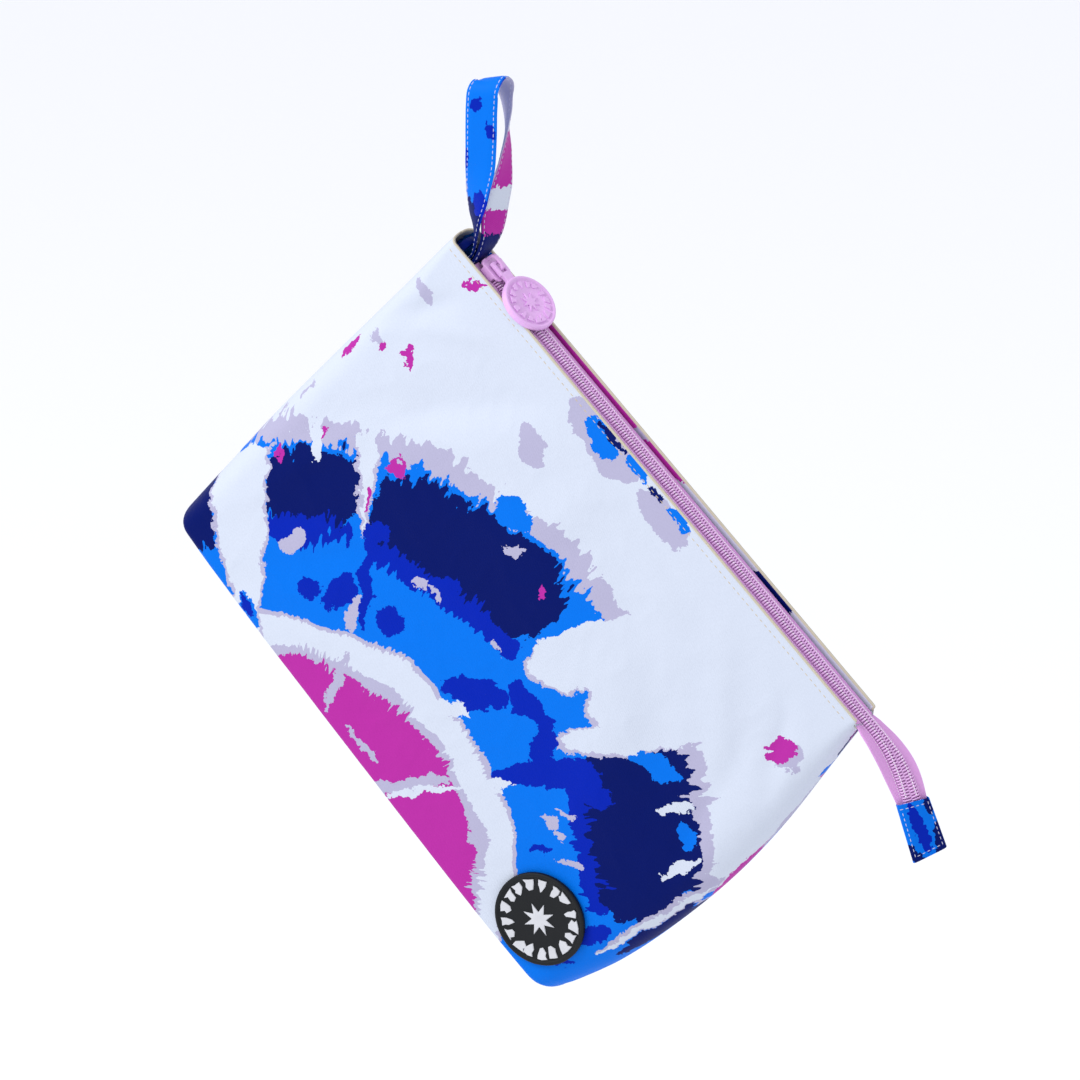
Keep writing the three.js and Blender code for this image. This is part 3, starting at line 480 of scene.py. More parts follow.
# Drops and patches, in the order they are printed: middle, half sizes and lie of each. One lilac-grey strip
# on the tail's side gusset is painted shade, not dye.
FRONT_BLOTS_AND_PAINTED_SHADE = table(
    "x y long wide turn dye",
    (  72, -198,  37,  16,   8, LILAC),
    (  92, -221,  27,  20,   0, LILAC),
    (  84, -237,  35,   9,   4, LILAC),
    (  79, -196,  42,  17,   8, WHITE),
    (  95, -219,  28,  22,   0, WHITE),
    (  89, -236,  36,   8,   4, WHITE),
    (  12, -216,  17,   8, -14, ROYAL),
    (  38, -222,  13,   6, -48, ROYAL),
    (  45, -240,  14, 5.5,  84, ROYAL),
    (  45, -254,  24,   7,   6, ROYAL),
    (  69, -262,  12,   7, -60, ROYAL),
    (-101, -177,  10, 3.8, -72, AZURE),
    (-102, -175,   7, 2.2, -72, ROYAL),
    (  97, -251,  13,   5, -32, AZURE),
    ( 111, -286,   7,   3, -70, AZURE),
    ( 117, -320,   8,   3, -40, AZURE),
    (  98, -338,  24,   6,  27, NAVY),
    (  98, -327,  34, 3.4,  29, LILAC),
    (  96, -329,  32, 1.8,  29, WHITE),
    (  66, -334,   9,   4,  10, ROYAL),
    (  52, -350,   5, 1.4,  -8, ROYAL),
    ( 136, -312,  24,   6,  48, MAGENTA),
    # Painted shade: the white cloth where the side gusset turns away from the light, drawn as a lilac-grey
    # strip.
    ( 163, -284,  24,   6,  50, LILAC),
    ( 180, -262,   6,   3,  10, MAGENTA),
    ( 179, -258,   6, 2.4,  10, AZURE),
    ( 192, -243,  16,   6,  50, NAVY),
    ( 188, -243,   8, 0.7,  70, MAGENTA),
    ( -41, -160,  24,   3,  85, ROYAL),
    ( -70, -166,   6, 4.5, -20, ROYAL),
    ( -54, -167,  10,   7,  50, ROYAL),
    ( -29, -182,   8,   6, -60, ROYAL),
    ( -36, -139,   7,   4,   0, ROYAL),
    (   1, -164,   5,   4,   0, ROYAL),
    (  31, -130,  10,   6, -40, AZURE),
    (  32, -147,   5,   3,   0, LILAC),
    ( -48, -178,   9,   3,  80, LILAC),
    ( -66,  -96,   9,   3, -82, WHITE),
    ( 106, -272,   9, 2.6,   5, WHITE),
    ( 108, -301,  10, 2.2,  20, WHITE),
    (   1, -224,   9,   3,  -5, WHITE),
    (  18, -262,  12, 3.6,   8, WHITE),
    ( -57, -212,  16, 2.4,  66, LILAC),
    ( -46, -243,  13, 1.8, -52, LILAC),
    ( -24, -262,  24,   3,  10, LILAC),
    ( -16, -265,  22,   2,  10, WHITE),
    (  39,  -97,  11,   6, -72, LILAC),
    ( -14,  -25, 7.5, 2.2, -62, LILAC),
    ( -37,  -46,   5, 2.4, -70, LILAC),
    ( -71,  -70,   5,   1,  35, LILAC),
    ( -77, -143,   8,   5,  45, LILAC),
    ( -13, -163,   4, 2.6,  20, LILAC),
    (  -7, -168, 4.4, 1.2, -50, LILAC),
    (  22, -194, 3.6, 1.3, -50, LILAC),
    (  55, -275,   7, 1.2, -12, LILAC),
    (  47, -279,   4, 2.2, -40, LILAC),
    (  52, -285, 3.8, 1.5, -50, LILAC),
    (  57, -299,   6, 1.8, -15, LILAC),
    (  43, -292, 6.5, 1.8,   5, ROYAL),
    (  72,  -96,  25,   9, -52, LILAC),
    ( 100, -133,  17, 7.5, -50, LILAC),
    (  71,  -94,  11, 6.8, -60, AZURE),
    (  77,  -94,  10, 1.9, -52, NAVY),
    (  88, -109, 7.5, 3.6, -52, AZURE),
    (  97, -120, 4.4, 1.8, -52, NAVY),
    ( 108, -134,   7, 2.8, -52, AZURE),
    ( -84, -101,   5, 1.9, -75, MAGENTA),
    ( -63,  -91, 3.8, 1.1,  80, MAGENTA),
    ( -26, -108,   5, 4.4, -30, MAGENTA),
    ( -26, -106, 1.8, 1.2,   0, LILAC),
    ( -40, -123, 6.4, 1.2,  90, MAGENTA),
    ( -21,  -55,   6, 1.6, -80, MAGENTA),
    ( -50,  -50,   7, 2.2,  48, MAGENTA),
    ( -34,  -50, 2.6, 1.8,  30, MAGENTA),
    (  11,  -22, 5.4, 1.5, -15, MAGENTA),
    (  44, -168,   3, 1.8,  60, MAGENTA),
    ( 158, -245,   8, 6.4,  20, LILAC),
    ( 155, -243,   8, 6.2,  20, MAGENTA),
    ( 149, -243,   4, 1.3,   0, WHITE),
    ( 156, -235, 1.6, 3.2,   0, WHITE),
    ( 162, -250,   4,   2, -50, LILAC),
)
BACK_ARCS = table(
    "turn radius sweep deep dye",
    (150, 164, 12,  7, ROYAL),
    (116, 162,  9,  8, ROYAL),
    (153, 187, 12, 20, NAVY),
    (117, 188, 11, 19, NAVY),
    (184, 186,  9, 18, NAVY),
)
BACK_RAYS = table(
    "x y turn open reach",
    (205, -195, 135, 0.11, 92),
    (160, -268, 171, 0.12, 84),
    (262, -162, 102, 0.13, 90),
)
BACK_BLOTS = table(
    "x y long wide turn dye",
    (112,    0, 52,   9,   2, MAGENTA),
    (128,    0,  4,  12,  -8, LILAC),
    (226,   -2, 14,   9,   0, NAVY),
    ( 18,   -6, 22,  12,  20, LILAC),
    ( 16,   -4, 18,   9,  20, AZURE),
    ( 44,  -88,  9,   5,  60, LILAC),
    ( 22, -132,  6,   3, -30, MAGENTA),
    (150,  -52,  7,   3,  20, LILAC),
    ( 96, -168,  8,   5, -20, AZURE),
    (176, -178,  9,   5,  40, ROYAL),
    (206, -154,  7,   4, -40, ROYAL),
    (150, -202,  6,   3,  10, LILAC),
    (252, -222, 20, 2.4, 118, LILAC),
    (276, -206, 12,   2,  84, WHITE),
)
# The picture's right and up as the pouch hangs, in cloth across and down the wall.
FRONT_LIE = {"right": (0.640, 0.6365, 0), "up": (-0.764, 0.585, 0)}
BACK_LIE = {"right": (1, 0, 0), "up": (0, 1, 0)}
FRONT_KNOT = (-94, -303)
BACK_KNOT = (300, -290)


def ragged_place(tree, place, lumps, reach):
    """A place pushed about by lumps, so that what is printed there gets ragged edges."""
    shift = add(tree, "VectorMath", (lumps.outputs["Color"], (0.5, 0.5, 0.5)), operation="SUBTRACT")
    return add(tree, "VectorMath", (shift, reach, place), operation="MULTIPLY_ADD")


def bands(tree, at, rows, span):
    """Flat colours, each from its own place on. The places run from 0 to span."""
    ramp = add(tree, "ValToRGB", [add(tree, "Math", (at, span), operation="DIVIDE")])
    stops = ramp.color_ramp
    stops.interpolation = "CONSTANT"
    stops.elements.remove(stops.elements[1])
    stops.elements[0].color = linear(rows[0]["dye"])
    for row in rows[1:]:
        stops.elements.new(row["at"] / span).color = linear(row["dye"])
    return ramp.outputs["Color"]


def print_blot(tree, under, place, blot):
    """One drop of dye over what is printed already: an oval with its middle, half sizes and lie."""
    inside = add(tree, "Mapping", {
        "Vector": place, "Location": (blot["x"], blot["y"], 0),
        "Rotation": (0, 0, math.radians(blot["turn"])),
        "Scale": (blot["long"], blot["wide"], 1)}, vector_type="TEXTURE")
    off = add(tree, "VectorMath", [inside], operation="LENGTH").outputs["Value"]
    mask = add(tree, "Math", (off, 1.0), operation="LESS_THAN")
    return add(tree, "Mix", {0: mask, 6: under, 7: linear(blot["dye"])}, data_type="RGBA")


def ring_dye(tree, lie, knot, arcs, rays, blots):
    """The cloth's own place, and the colour that is printed there."""
    cloth = add(tree, "Attribute", attribute_name="cloth").outputs["Vector"]
    picture = add(tree, "CombineXYZ", [
        add(tree, "VectorMath", (cloth, lie[way]), operation="DOT_PRODUCT").outputs["Value"]
        for way in ("right", "up")])
    lumps, sway, spell = [
        add(tree, "TexNoise", {"Vector": picture, "Scale": 1 / size, "Detail": detail, "Roughness": rough},
            noise_dimensions="2D")
        for size, detail, rough in ((LUMP_MM, 4.5, 0.68), (SWAY_MM, 1.0, 0.5), (SPELL_MM, 0.0, 0.5))]
    lump = lumps.outputs[0]
    ragged = ragged_place(tree, picture, lumps, (LUMP_REACH, LUMP_REACH, 0))

    # The dye ran out along the pleats of the tied cloth, so the rings' edges are spiky. The
    # spikes come in spells, and are shortest at CALM_RADIUS.
    from_knot = add(tree, "VectorMath", (picture, (*knot, 0)), operation="SUBTRACT")
    radius = add(tree, "VectorMath", [from_knot], operation="LENGTH").outputs["Value"]
    parts = add(tree, "SeparateXYZ", [from_knot])
    angle = add(tree, "Math", (parts.outputs[1], parts.outputs[0]), operation="ARCTAN2")
    spoke = add(tree, "CombineXYZ", (
        add(tree, "Math", (angle, POLAR_MM / SPIKE_MM), operation="MULTIPLY"),
        add(tree, "Math", (radius, 1 / LUMP_MM), operation="MULTIPLY")))
    spikes = add(tree, "TexNoise", {"Vector": spoke, "Scale": 1.0, "Detail": 1.6, "Roughness": 0.6},
                 noise_dimensions="2D")
    off_calm = add(tree, "Math", (radius, CALM_RADIUS), operation="SUBTRACT")
    off_calm = add(tree, "Math", [off_calm], operation="ABSOLUTE")
    calm = add(tree, "MapRange", (off_calm, 0.0, CALM_DEEP, 0.2, 1.0))
    spiky = add(tree, "MapRange", (spell, 0.36, 0.62, 0.15, 1.5))
    spiky = add(tree, "Math", (spiky, calm), operation="MULTIPLY")
    pushed = radius
    for wave, size, reach in (
            (spikes, spiky, SPIKE_REACH), (lump, calm, LUMP_REACH), (sway, 1.0, SWAY_REACH)):
        shift = add(tree, "Math", (wave, 0.5), operation="SUBTRACT")
        shift = add(tree, "Math", (shift, size), operation="MULTIPLY")
        pushed = add(tree, "Math", (shift, reach, pushed), operation="MULTIPLY_ADD")
    colour = bands(tree, pushed, RINGS, RAMP_MM)

    round_ring = add(tree, "Math", (angle, POLAR_MM), operation="MULTIPLY")
    round_ring = add(tree, "Math", (lump, LUMP_REACH, round_ring), operation="MULTIPLY_ADD")
    polar = add(tree, "CombineXYZ", (round_ring, pushed))
    for arc in arcs:
        middle = math.radians(arc["turn"]) * POLAR_MM + LUMP_REACH / 2
        inside = add(tree, "Mapping", {
            "Vector": polar, "Location": (middle, arc["radius"], 0),
            "Scale": (math.radians(arc["sweep"]) * POLAR_MM, arc["deep"], 1)}, vector_type="TEXTURE")
        square = add(tree, "VectorMath", (inside, inside), operation="MULTIPLY")
        fourth = add(tree, "VectorMath", (square, square), operation="DOT_PRODUCT").outputs["Value"]
        mask = add(tree, "Math", (fourth, 1.0), operation="LESS_THAN")
        colour = add(tree, "Mix", {0: mask, 6: colour, 7: linear(arc["dye"])}, data_type="RGBA")

    for dye, fringe in ((LILAC, RAY_FRINGE), (WHITE, 0.0)):
        for ray in rays:
            inside = add(tree, "SeparateXYZ", [add(tree, "Mapping", {
                "Vector": ragged, "Location": (ray["x"], ray["y"], 0),
                "Rotation": (0, 0, math.radians(ray["turn"]))}, vector_type="TEXTURE")])
            out, off = inside.outputs[0], add(tree, "Math", [inside.outputs[1]], operation="ABSOLUTE")
            half_wide = add(tree, "Math", (out, ray["open"], fringe), operation="MULTIPLY_ADD")
            near = add(tree, "Math", (off, half_wide), operation="LESS_THAN")
            half_reach = ray["reach"] / 2
            within = add(tree, "Math", (out, half_reach, half_reach), operation="COMPARE")
            mask = add(tree, "Math", (near, within), operation="MULTIPLY")
            colour = add(tree, "Mix", {0: mask, 6: colour, 7: linear(dye)}, data_type="RGBA")

    # A shader holds about sixty marks at once. Passing the place on through the colour, at no
    # size that shows, makes it finish one batch before it starts the next.
    for count, blot in enumerate(blots):
        if count % BATCH == 0:
            ragged = add(tree, "VectorMath", (colour, (1e-6, 1e-6, 0), ragged), operation="MULTIPLY_ADD")
        colour = print_blot(tree, colour, ragged, blot)
    down = add(tree, "SeparateXYZ", [cloth]).outputs[1]
    hem = add(tree, "Math", (down, -HEM_TURN), operation="GREATER_THAN")
    return cloth, add(tree, "Mix", {0: hem, 6: colour, 7: linear(CREAM)}, data_type="RGBA")


def satin_finish(tree, shader, cloth, colour):
    """Polyester satin, calendered: long floats give a soft sheen, and a fine slanting twill
    breaks it up. The thread is drawn about twice its real width, so that it just shows."""
    slant = (2 * math.pi / THREAD_MM, math.pi / THREAD_MM, 0)
    twill = add(tree, "VectorMath", (cloth, slant), operation="DOT_PRODUCT").outputs["Value"]
    twill = add(tree, "Math", [twill], operation="SINE")
    slub, crush = [
        add(tree, "TexNoise", {"Vector": cloth, "Scale": 1 / size, "Detail": detail, "Roughness": rough},
            noise_dimensions="2D")
        for size, detail, rough in ((THREAD_MM, 2.0, 0.5), (CRUSH_MM, 3.0, 0.45))]
    height = 0.0
    for wave, rise in ((twill, 0.018), (slub, 0.06), (crush, 0.55)):
        height = add(tree, "Math", (wave, rise, height), operation="MULTIPLY_ADD")
    tone = add(tree, "MapRange", (slub, 0.0, 1.0, 0.955, 1.045))
    feed(tree, shader, {
        "Base Color": add(tree, "VectorMath", {0: colour, 3: tone}, operation="SCALE"),
        "Roughness": add(tree, "MapRange", (slub, 0.0, 1.0, 0.42, 0.62)),
        "Normal": add(tree, "Bump", {"Height": height, "Distance": MM, "Strength": 0.8}),
        "IOR": 1.54, "Specular IOR Level": 0.05})


PRINTS = ((FRONT_LIE, FRONT_KNOT, FRONT_ARCS, FRONT_RAYS, FRONT_BLOTS_AND_PAINTED_SHADE),
          (BACK_LIE, BACK_KNOT, BACK_ARCS, BACK_RAYS, BACK_BLOTS))
for (side, name, folds, creases), design in zip(SIDES, PRINTS):
    satin, satin_tree, satin_shader = new_material("printed_polyester_satin_" + name + "_wall")
    satin_finish(satin_tree, satin_shader, *ring_dye(satin_tree, *design))
    shell = wall(name + "_wall", folds, creases, side, satin)
    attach(shell, "pouch")
    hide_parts(name + "_panel")


# The hanging loop: one strip of the same satin folded in half along its length, pressed flat
# and topstitched along both edges, then doubled over and sewn into the mouth beside the zip.
# Each face shows its own stretch of the print.
LOOP_OPEN = 6.5
LOOP_FOOT_DEPTH = 7
STRAP_WIDTH = 17
STRAP_STEPS = 150
STRAP_ACROSS = 18
STRAP_EDGE_ROUND = 6
STITCH_IN = 1.6
STITCH_HIGH = 0.36
STITCH = {"spacing": 2.7, "length": 2.2, "thread": 0.42}
WIRE_SIDES = 6
STRIP_MM = 240.0
STRIP_LUMP_MM = 1 / 0.35
THREAD_COLOUR = "#C6C3D9"

# Each strand from the top down: down is a share of LOOP_DROP, aside one of STRAP_WIDTH along X,
# out one of LOOP_OPEN along Y. turn and tilt lay the strap's width, in degrees.
FRONT_STRAND = table(
    "down aside out turn tilt",
    (0.000,  0.10, -0.55,   0, 16),
    (0.045,  0.02, -0.92,   0, 8),
    (0.130, -0.01, -1.02,   0, 2),
    (0.270, -0.02, -1.05,   0, 0),
    (0.460, -0.06, -1.02,  -4, 0),
    (0.640, -0.18, -0.95, -22, 0),
    (0.790, -0.33, -0.62, -44, 0),
    (0.920, -0.36, -0.25, -66, 0),
)
BACK_STRAND = table(
    "down aside out turn tilt",
    (0.000, 0.16, 0.55,  -16, 16),
    (0.045, 0.20, 1.05,  -28, 10),
    (0.130, 0.26, 1.30,  -42, 2),
    (0.270, 0.28, 1.35,  -58, 0),
    (0.460, 0.26, 1.20,  -80, 0),
    (0.640, 0.18, 0.85, -102, 0),
    (0.790, 0.06, 0.50, -108, 0),
    (0.920, 0.00, 0.22,  -98, 0),
)
# Where each colour starts along the two faces, in millimetres from the front foot.
STRAP_OUTSIDE = table("at dye",
    (0, NAVY), (33, AZURE), (101, LILAC), (121, WHITE), (126, MAGENTA), (156, WHITE), (167, MAGENTA),
    (180, NAVY))
STRAP_INSIDE = table("at dye",
    (0, NAVY), (26, ROYAL), (44, AZURE), (92, ROYAL), (97, LILAC), (150, WHITE), (170, NAVY))
STRAP_BLOTS = table(
    "x y long wide turn dye",
    (83, -2.5, 4.5, 2.4,  20, ROYAL),
    (71,  5.5,   4, 2.2, -30, ROYAL),
    (55,   -8,   5,   2,   0, ROYAL),
    (36,    4,   6,   5,   0, ROYAL),
    (36, -8.4,   9, 1.6,   0, LILAC),
)


def spline(keys, share):
    """A place on a centripetal Catmull-Rom curve through the keys, and the way it runs there."""
    last = len(keys) - 1
    k = min(int(share * last), last - 1)
    t = share * last - k
    a, b = keys[k], keys[k + 1]
    before = keys[k - 1] if k else a * 2 - b
    after = keys[k + 2] if k + 2 <= last else b * 2 - a
    d0, d1, d2 = [math.sqrt((q - p).length) for p, q in ((before, a), (a, b), (b, after))]
    m1 = ((a - before) / d0 - (b - before) / (d0 + d1) + (b - a) / d1) * d1
    m2 = ((b - a) / d1 - (after - a) / (d1 + d2) + (after - b) / d2) * d1
    c2 = (b - a) * 3 - m1 * 2 - m2
    c3 = (a - b) * 2 + m1 + m2
    return a + m1 * t + c2 * t * t + c3 * t ** 3, (m1 + c2 * 2 * t + c3 * 3 * t * t).normalized()


def strap_frames():
    """The strap's middle, its width and its normal at each step, and the length run to it."""
    def foot(offset, depth):
        return {"place": hung(Vector((LOOP_FOOT_AT + offset, 0, -depth))), "turn": -90, "tilt": 0}

    def strand(rows):
        sizes = {"aside": STRAP_WIDTH, "out": LOOP_OPEN, "down": -LOOP_DROP}
        return [{"place": Vector([row[way] * size for way, size in sizes.items()]),
                 "turn": row["turn"], "tilt": row["tilt"]} for row in rows]

    spread = STRAP_THICK / 2 + GAP
    crown = {"place": Vector((STRAP_WIDTH * 0.12, 0, STRAP_THICK / 2)), "turn": -6, "tilt": 16}
    keys = [foot(-spread, LOOP_FOOT_DEPTH), foot(-spread, 0.5), *reversed(strand(FRONT_STRAND)), crown,
            *strand(BACK_STRAND), foot(spread, 0.5), foot(spread, LOOP_FOOT_DEPTH)]
    places = [key["place"] for key in keys]
    last = len(keys) - 1
    frames, run = [], 0.0
    for i in range(STRAP_STEPS + 1):
        share = i / STRAP_STEPS
        k = min(int(share * last), last - 1)
        t = share * last - k
        t = ease(t, 0, 1) * 0.3 + t * 0.7
        turn, tilt = [math.radians(keys[k][n] + (keys[k + 1][n] - keys[k][n]) * t) for n in ("turn", "tilt")]
        place, along = spline(places, share)
        width = Vector((math.cos(turn) * math.cos(tilt), math.sin(turn) * math.cos(tilt), math.sin(tilt)))
        normal = along.cross(width).normalized()
        width = normal.cross(along).normalized()
        run += (place - frames[-1][0]).length if frames else 0.0
        frames.append((place, width, normal, run))
    return frames


def skin(count, n, base=0):
    """Faces over closed rings of n points, from the point base on, with both ends closed."""
    faces = []
    for ring in range(base, base + (count - 1) * n, n):
        faces += [(ring + i, ring + (i + 1) % n, ring + n + (i + 1) % n, ring + n + i) for i in range(n)]
    end = base + (count - 1) * n
    return faces + [tuple(range(base + n - 1, base - 1, -1)), tuple(range(end, end + n))]


def tube(name, rings, laid, material, crease=40):
    """Closed rings of points in metres as one skin, with the cloth's coordinates laid on it.
    Edges sharper than crease degrees stay sharp."""
    made = new_object(name, [p for ring in rings for p in ring], skin(len(rings), len(rings[0])), material)
    sides = bmesh.new()
    sides.from_mesh(made.data)
    bmesh.ops.recalc_face_normals(sides, faces=sides.faces)
    sides.to_mesh(made.data)
    sides.free()
    made.data.set_sharp_from_angle(angle=math.radians(crease))
    lay(made.data, [place for row in laid for place in row])
    return made


def strip_dye(tree, outside, inside, blots):
    """The print on a narrow folded strip: bands along it on each face, and a few drops."""
    cloth = add(tree, "Attribute", attribute_name="cloth").outputs["Vector"]
    lumps = add(tree, "TexNoise", {"Vector": cloth, "Scale": 1 / STRIP_LUMP_MM, "Detail": 3.0},
                noise_dimensions="2D")
    flat = add(tree, "VectorMath", (cloth, (1, 1, 0)), operation="MULTIPLY")
    ragged = ragged_place(tree, flat, lumps, (7, 4, 0))
    at = add(tree, "SeparateXYZ", [ragged]).outputs[0]
    inner, colour = [bands(tree, at, rows, STRIP_MM) for rows in (inside, outside)]
    for blot in blots:
        colour = print_blot(tree, colour, ragged, blot)
    outer = add(tree, "SeparateXYZ", [cloth]).outputs[2]
    return cloth, add(tree, "Mix", {0: outer, 6: inner, 7: colour}, data_type="RGBA")


def strip_satin(name, outside, inside, blots=()):
    """The walls' satin sheen over the strip's own bands of the print."""
    material, tree, shader = new_material(name)
    satin_finish(tree, shader, *strip_dye(tree, outside, inside, blots))
    return material


def even_steps(points, spacing):
    """Places at even spacing along a line of points, each with the way the line runs."""
    found, left = [], 0.0
    for a, b in zip(points, points[1:]):
        length = (b - a).length
        while left < length:
            found.append((a.lerp(b, left / length), (b - a).normalized()))
            left += spacing
        left -= length
    return found


def circle(centre, across, up, radius, sides):
    """Points round a centre, in the plane of two directions."""
    angles = [2 * math.pi * k / sides for k in range(sides)]
    return [centre + (across * math.cos(a) + up * math.sin(a)) * radius for a in angles]


def stitch_row(name, points, normals, spacing, length, thread, material, slot):
    """A row of stitches along a line in millimetres: each is a short length of thread, thick in
    the middle, that dives into the cloth at both ends."""
    steps = ((-0.5, 0.05), (-0.38, 0.75), (-0.15, 1.0), (0.15, 1.0), (0.38, 0.75), (0.5, 0.05))
    found, faces = [], []
    for place, along in even_steps(points, spacing):
        nearest = min(range(len(points)), key=lambda k: (points[k] - place).length_squared)
        across = along.cross(normals[nearest]).normalized()
        up = across.cross(along).normalized()
        faces += skin(len(steps), WIRE_SIDES, len(found))
        for share, size in steps:
            centre = place + along * (share * length) - up * (thread * (0.9 - 0.75 * size))
            found += [p * MM for p in circle(centre, across, up, thread / 2 * max(size, 0.3), WIRE_SIDES)]
    row = new_object(name, found, faces, material)
    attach(row, "pouch")


def plain_surface(name, hexa, mottle, tone, rough, relief=None, extra=None):
    """A material of one colour. Noise of mottle grains a millimetre moves its tone, and its
    roughness where that is a pair. relief is its grains a millimetre, their detail, their height
    in millimetres and how strongly they show."""
    material, tree, shader = new_material(name)
    spot = add(tree, "TexCoord").outputs["Object"]
    mottled = add(tree, "TexNoise", {"Vector": spot, "Scale": mottle / MM, "Detail": 2.0})
    if isinstance(rough, tuple):
        rough = add(tree, "MapRange", (mottled, 0.0, 1.0, *rough))
    tint = add(tree, "MapRange", (mottled, 0.0, 1.0, *tone))
    feed(tree, shader, {
        "Base Color": add(tree, "VectorMath", {0: linear(hexa)[:3], 3: tint}, operation="SCALE"),
        "Roughness": rough})
    if relief:
        fine, detail, high, strength = relief
        grain = add(tree, "TexNoise", {"Vector": spot, "Scale": fine / MM, "Detail": detail})
        bump = add(tree, "Bump", {"Height": grain, "Distance": high * MM, "Strength": strength})
        feed(tree, shader, {"Normal": bump})
    feed(tree, shader, extra or {})
    return material


def spun_thread(name, hexa):
    """Core-spun polyester thread: matt and faintly hairy, with the slant of its ply as bump."""
    return plain_surface(name, hexa, 2.6, (0.9, 1.08), 0.78, (2.6, 2.0, 0.12, 0.7))


def strap_outline():
    """Half across and half thick at each point round the folded strap, and its face."""
    outline = []
    for face in (1, -1):
        for i in range(STRAP_ACROSS + 1):
            w = (i / STRAP_ACROSS - 0.5) * face
            groove = 0.3 * math.exp(-((abs(w) * STRAP_WIDTH - STRAP_WIDTH / 2 + STITCH_IN) / 0.5) ** 2)
            swell = max(1 - (abs(w) * 2) ** STRAP_EDGE_ROUND, 0.0) ** 0.5
            if face > 0 or 0 < i < STRAP_ACROSS:
                outline.append((w, 0.5 * face * swell * (1 - groove), (1 + face) / 2))
    return outline


# The same satin with the walls' sheen. The print changes from face to face.
loop_satin = strip_satin("printed_polyester_satin_strap", STRAP_OUTSIDE, STRAP_INSIDE, STRAP_BLOTS)
lilac_thread = spun_thread("spun_polyester_thread_lilac", THREAD_COLOUR)
frames = strap_frames()
outline = strap_outline()
strap_rings, strap_laid = [], []
for place, width, normal, run in frames:
    pucker = 1 + 0.10 * noise.noise(Vector((run / 4, 3.1, 0)))
    strap_rings.append([(place + width * (w * STRAP_WIDTH) + normal * (n * STRAP_THICK * pucker)) * MM
                        for w, n, face in outline])
    strap_laid.append([(run, w * STRAP_WIDTH, 1 - face) for w, n, face in outline])
loop = tube("loop_strap", strap_rings, strap_laid, loop_satin, 60)
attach(loop, "pouch")
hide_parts("hang_loop")
for row, (edge, face) in enumerate(((-1, 1), (1, 1), (-1, -1), (1, -1))):
    stitch_row("loop_stitches_%d" % row,
               [p + w * (edge * (STRAP_WIDTH / 2 - STITCH_IN)) + n * (face * STRAP_THICK * STITCH_HIGH)
                for p, w, n, run in frames],
               [n * face for p, w, n, run in frames], material=lilac_thread, slot="loop_cloth", **STITCH)


# The zip: two woven polyester tapes sewn under the hems, each with a row of nylon coil stitched
# along its edge. Past the end of the pouch the closed zip runs on as a tail that droops and
# twists, and the tapes open out flat there.
TAPE_FLANGE = 7
TAPE_EASE = 0.1
TAPE_START = 16.8
TAIL_LENGTH = 44
TAIL_DROOP = math.radians(26)
TAIL_TWIST = math.radians(48)
TAB_GRIP = 6
COIL_PITCH = 1.45
COIL_WIRE = 0.92
TOOTH_SLANT = 0.35
TOOTH_HEAD = 1.12
TAPE_STEP = 1.9
RIB_MM = 0.75
PICK_MM = 0.6
WEAVE_RISE = 0.05
TAPE_PINK, COIL_PINK, CHAIN_PINK = "#DAA0DA", "#E2B2E3", "#EFE0EF"
SLIDER_AT = 17.4
SLIDER_NOSE = 1.4
POST_LENGTH = 3.4
POST_WIDTH = 2.2
TAIL = table("along half",
    (0.00, 0.85), (0.10, 1.02), (0.28, 1.08), (0.50, 0.98), (0.75, 0.86), (1.00, 0.74), (1.16, 0.70))
coil_start = SLIDER_AT + SLIDER_NOSE + POST_LENGTH + GAP
zip_end = BAG_LENGTH + TAIL_LENGTH + TAB_GRIP


def zip_frame(at):
    """The zip's line: straight along the mouth, then a curve that droops and twists in the tail."""
    past = max(at - BAG_LENGTH, 0)
    place = Vector((min(at, BAG_LENGTH), 0, -TAPE_DEPTH))
    steps = 24
    for i in range(steps):
        turned = TAIL_DROOP * ease(past * (i + 0.5) / steps, TAIL_LENGTH * 0.05, TAIL_LENGTH)
        place += Vector((math.cos(turned), 0, -math.sin(turned))) * (past / steps)
    bend = TAIL_DROOP * ease(past, TAIL_LENGTH * 0.05, TAIL_LENGTH)
    twist = TAIL_TWIST * ease(past, TAIL_LENGTH * 0.1, TAIL_LENGTH)
    along = Vector((math.cos(bend), 0, -math.sin(bend)))
    up = Vector((math.sin(bend), 0, math.cos(bend)))
    side = Vector((0, 1, 0))
    across = side * math.cos(twist) + up * math.sin(twist)
    return place, along, across, up * math.cos(twist) - side * math.sin(twist)


def zip_point(at, y, z):
    place, along, across, normal = zip_frame(at)
    return place + across * y + normal * z


def tape_edges(at):
    """The tape at a place along the zip: its inner edge, its outer edge and how far it turns down."""
    past = max(at - BAG_LENGTH, 0) / TAIL_LENGTH
    half = read(TAIL, "along", "half", past) * mouth_half if past > 0 else mouth_inside
    flange = TAPE_THICK + TAPE_EASE + TAPE_FLANGE * (1 - ease(at, BAG_LENGTH * 0.92, BAG_LENGTH * 0.955))
    edge = GAP / 2 + (POST_WIDTH / 2 + GAP / 2) * (1 - ease(at, coil_start, coil_start + 2))
    return edge, half, flange


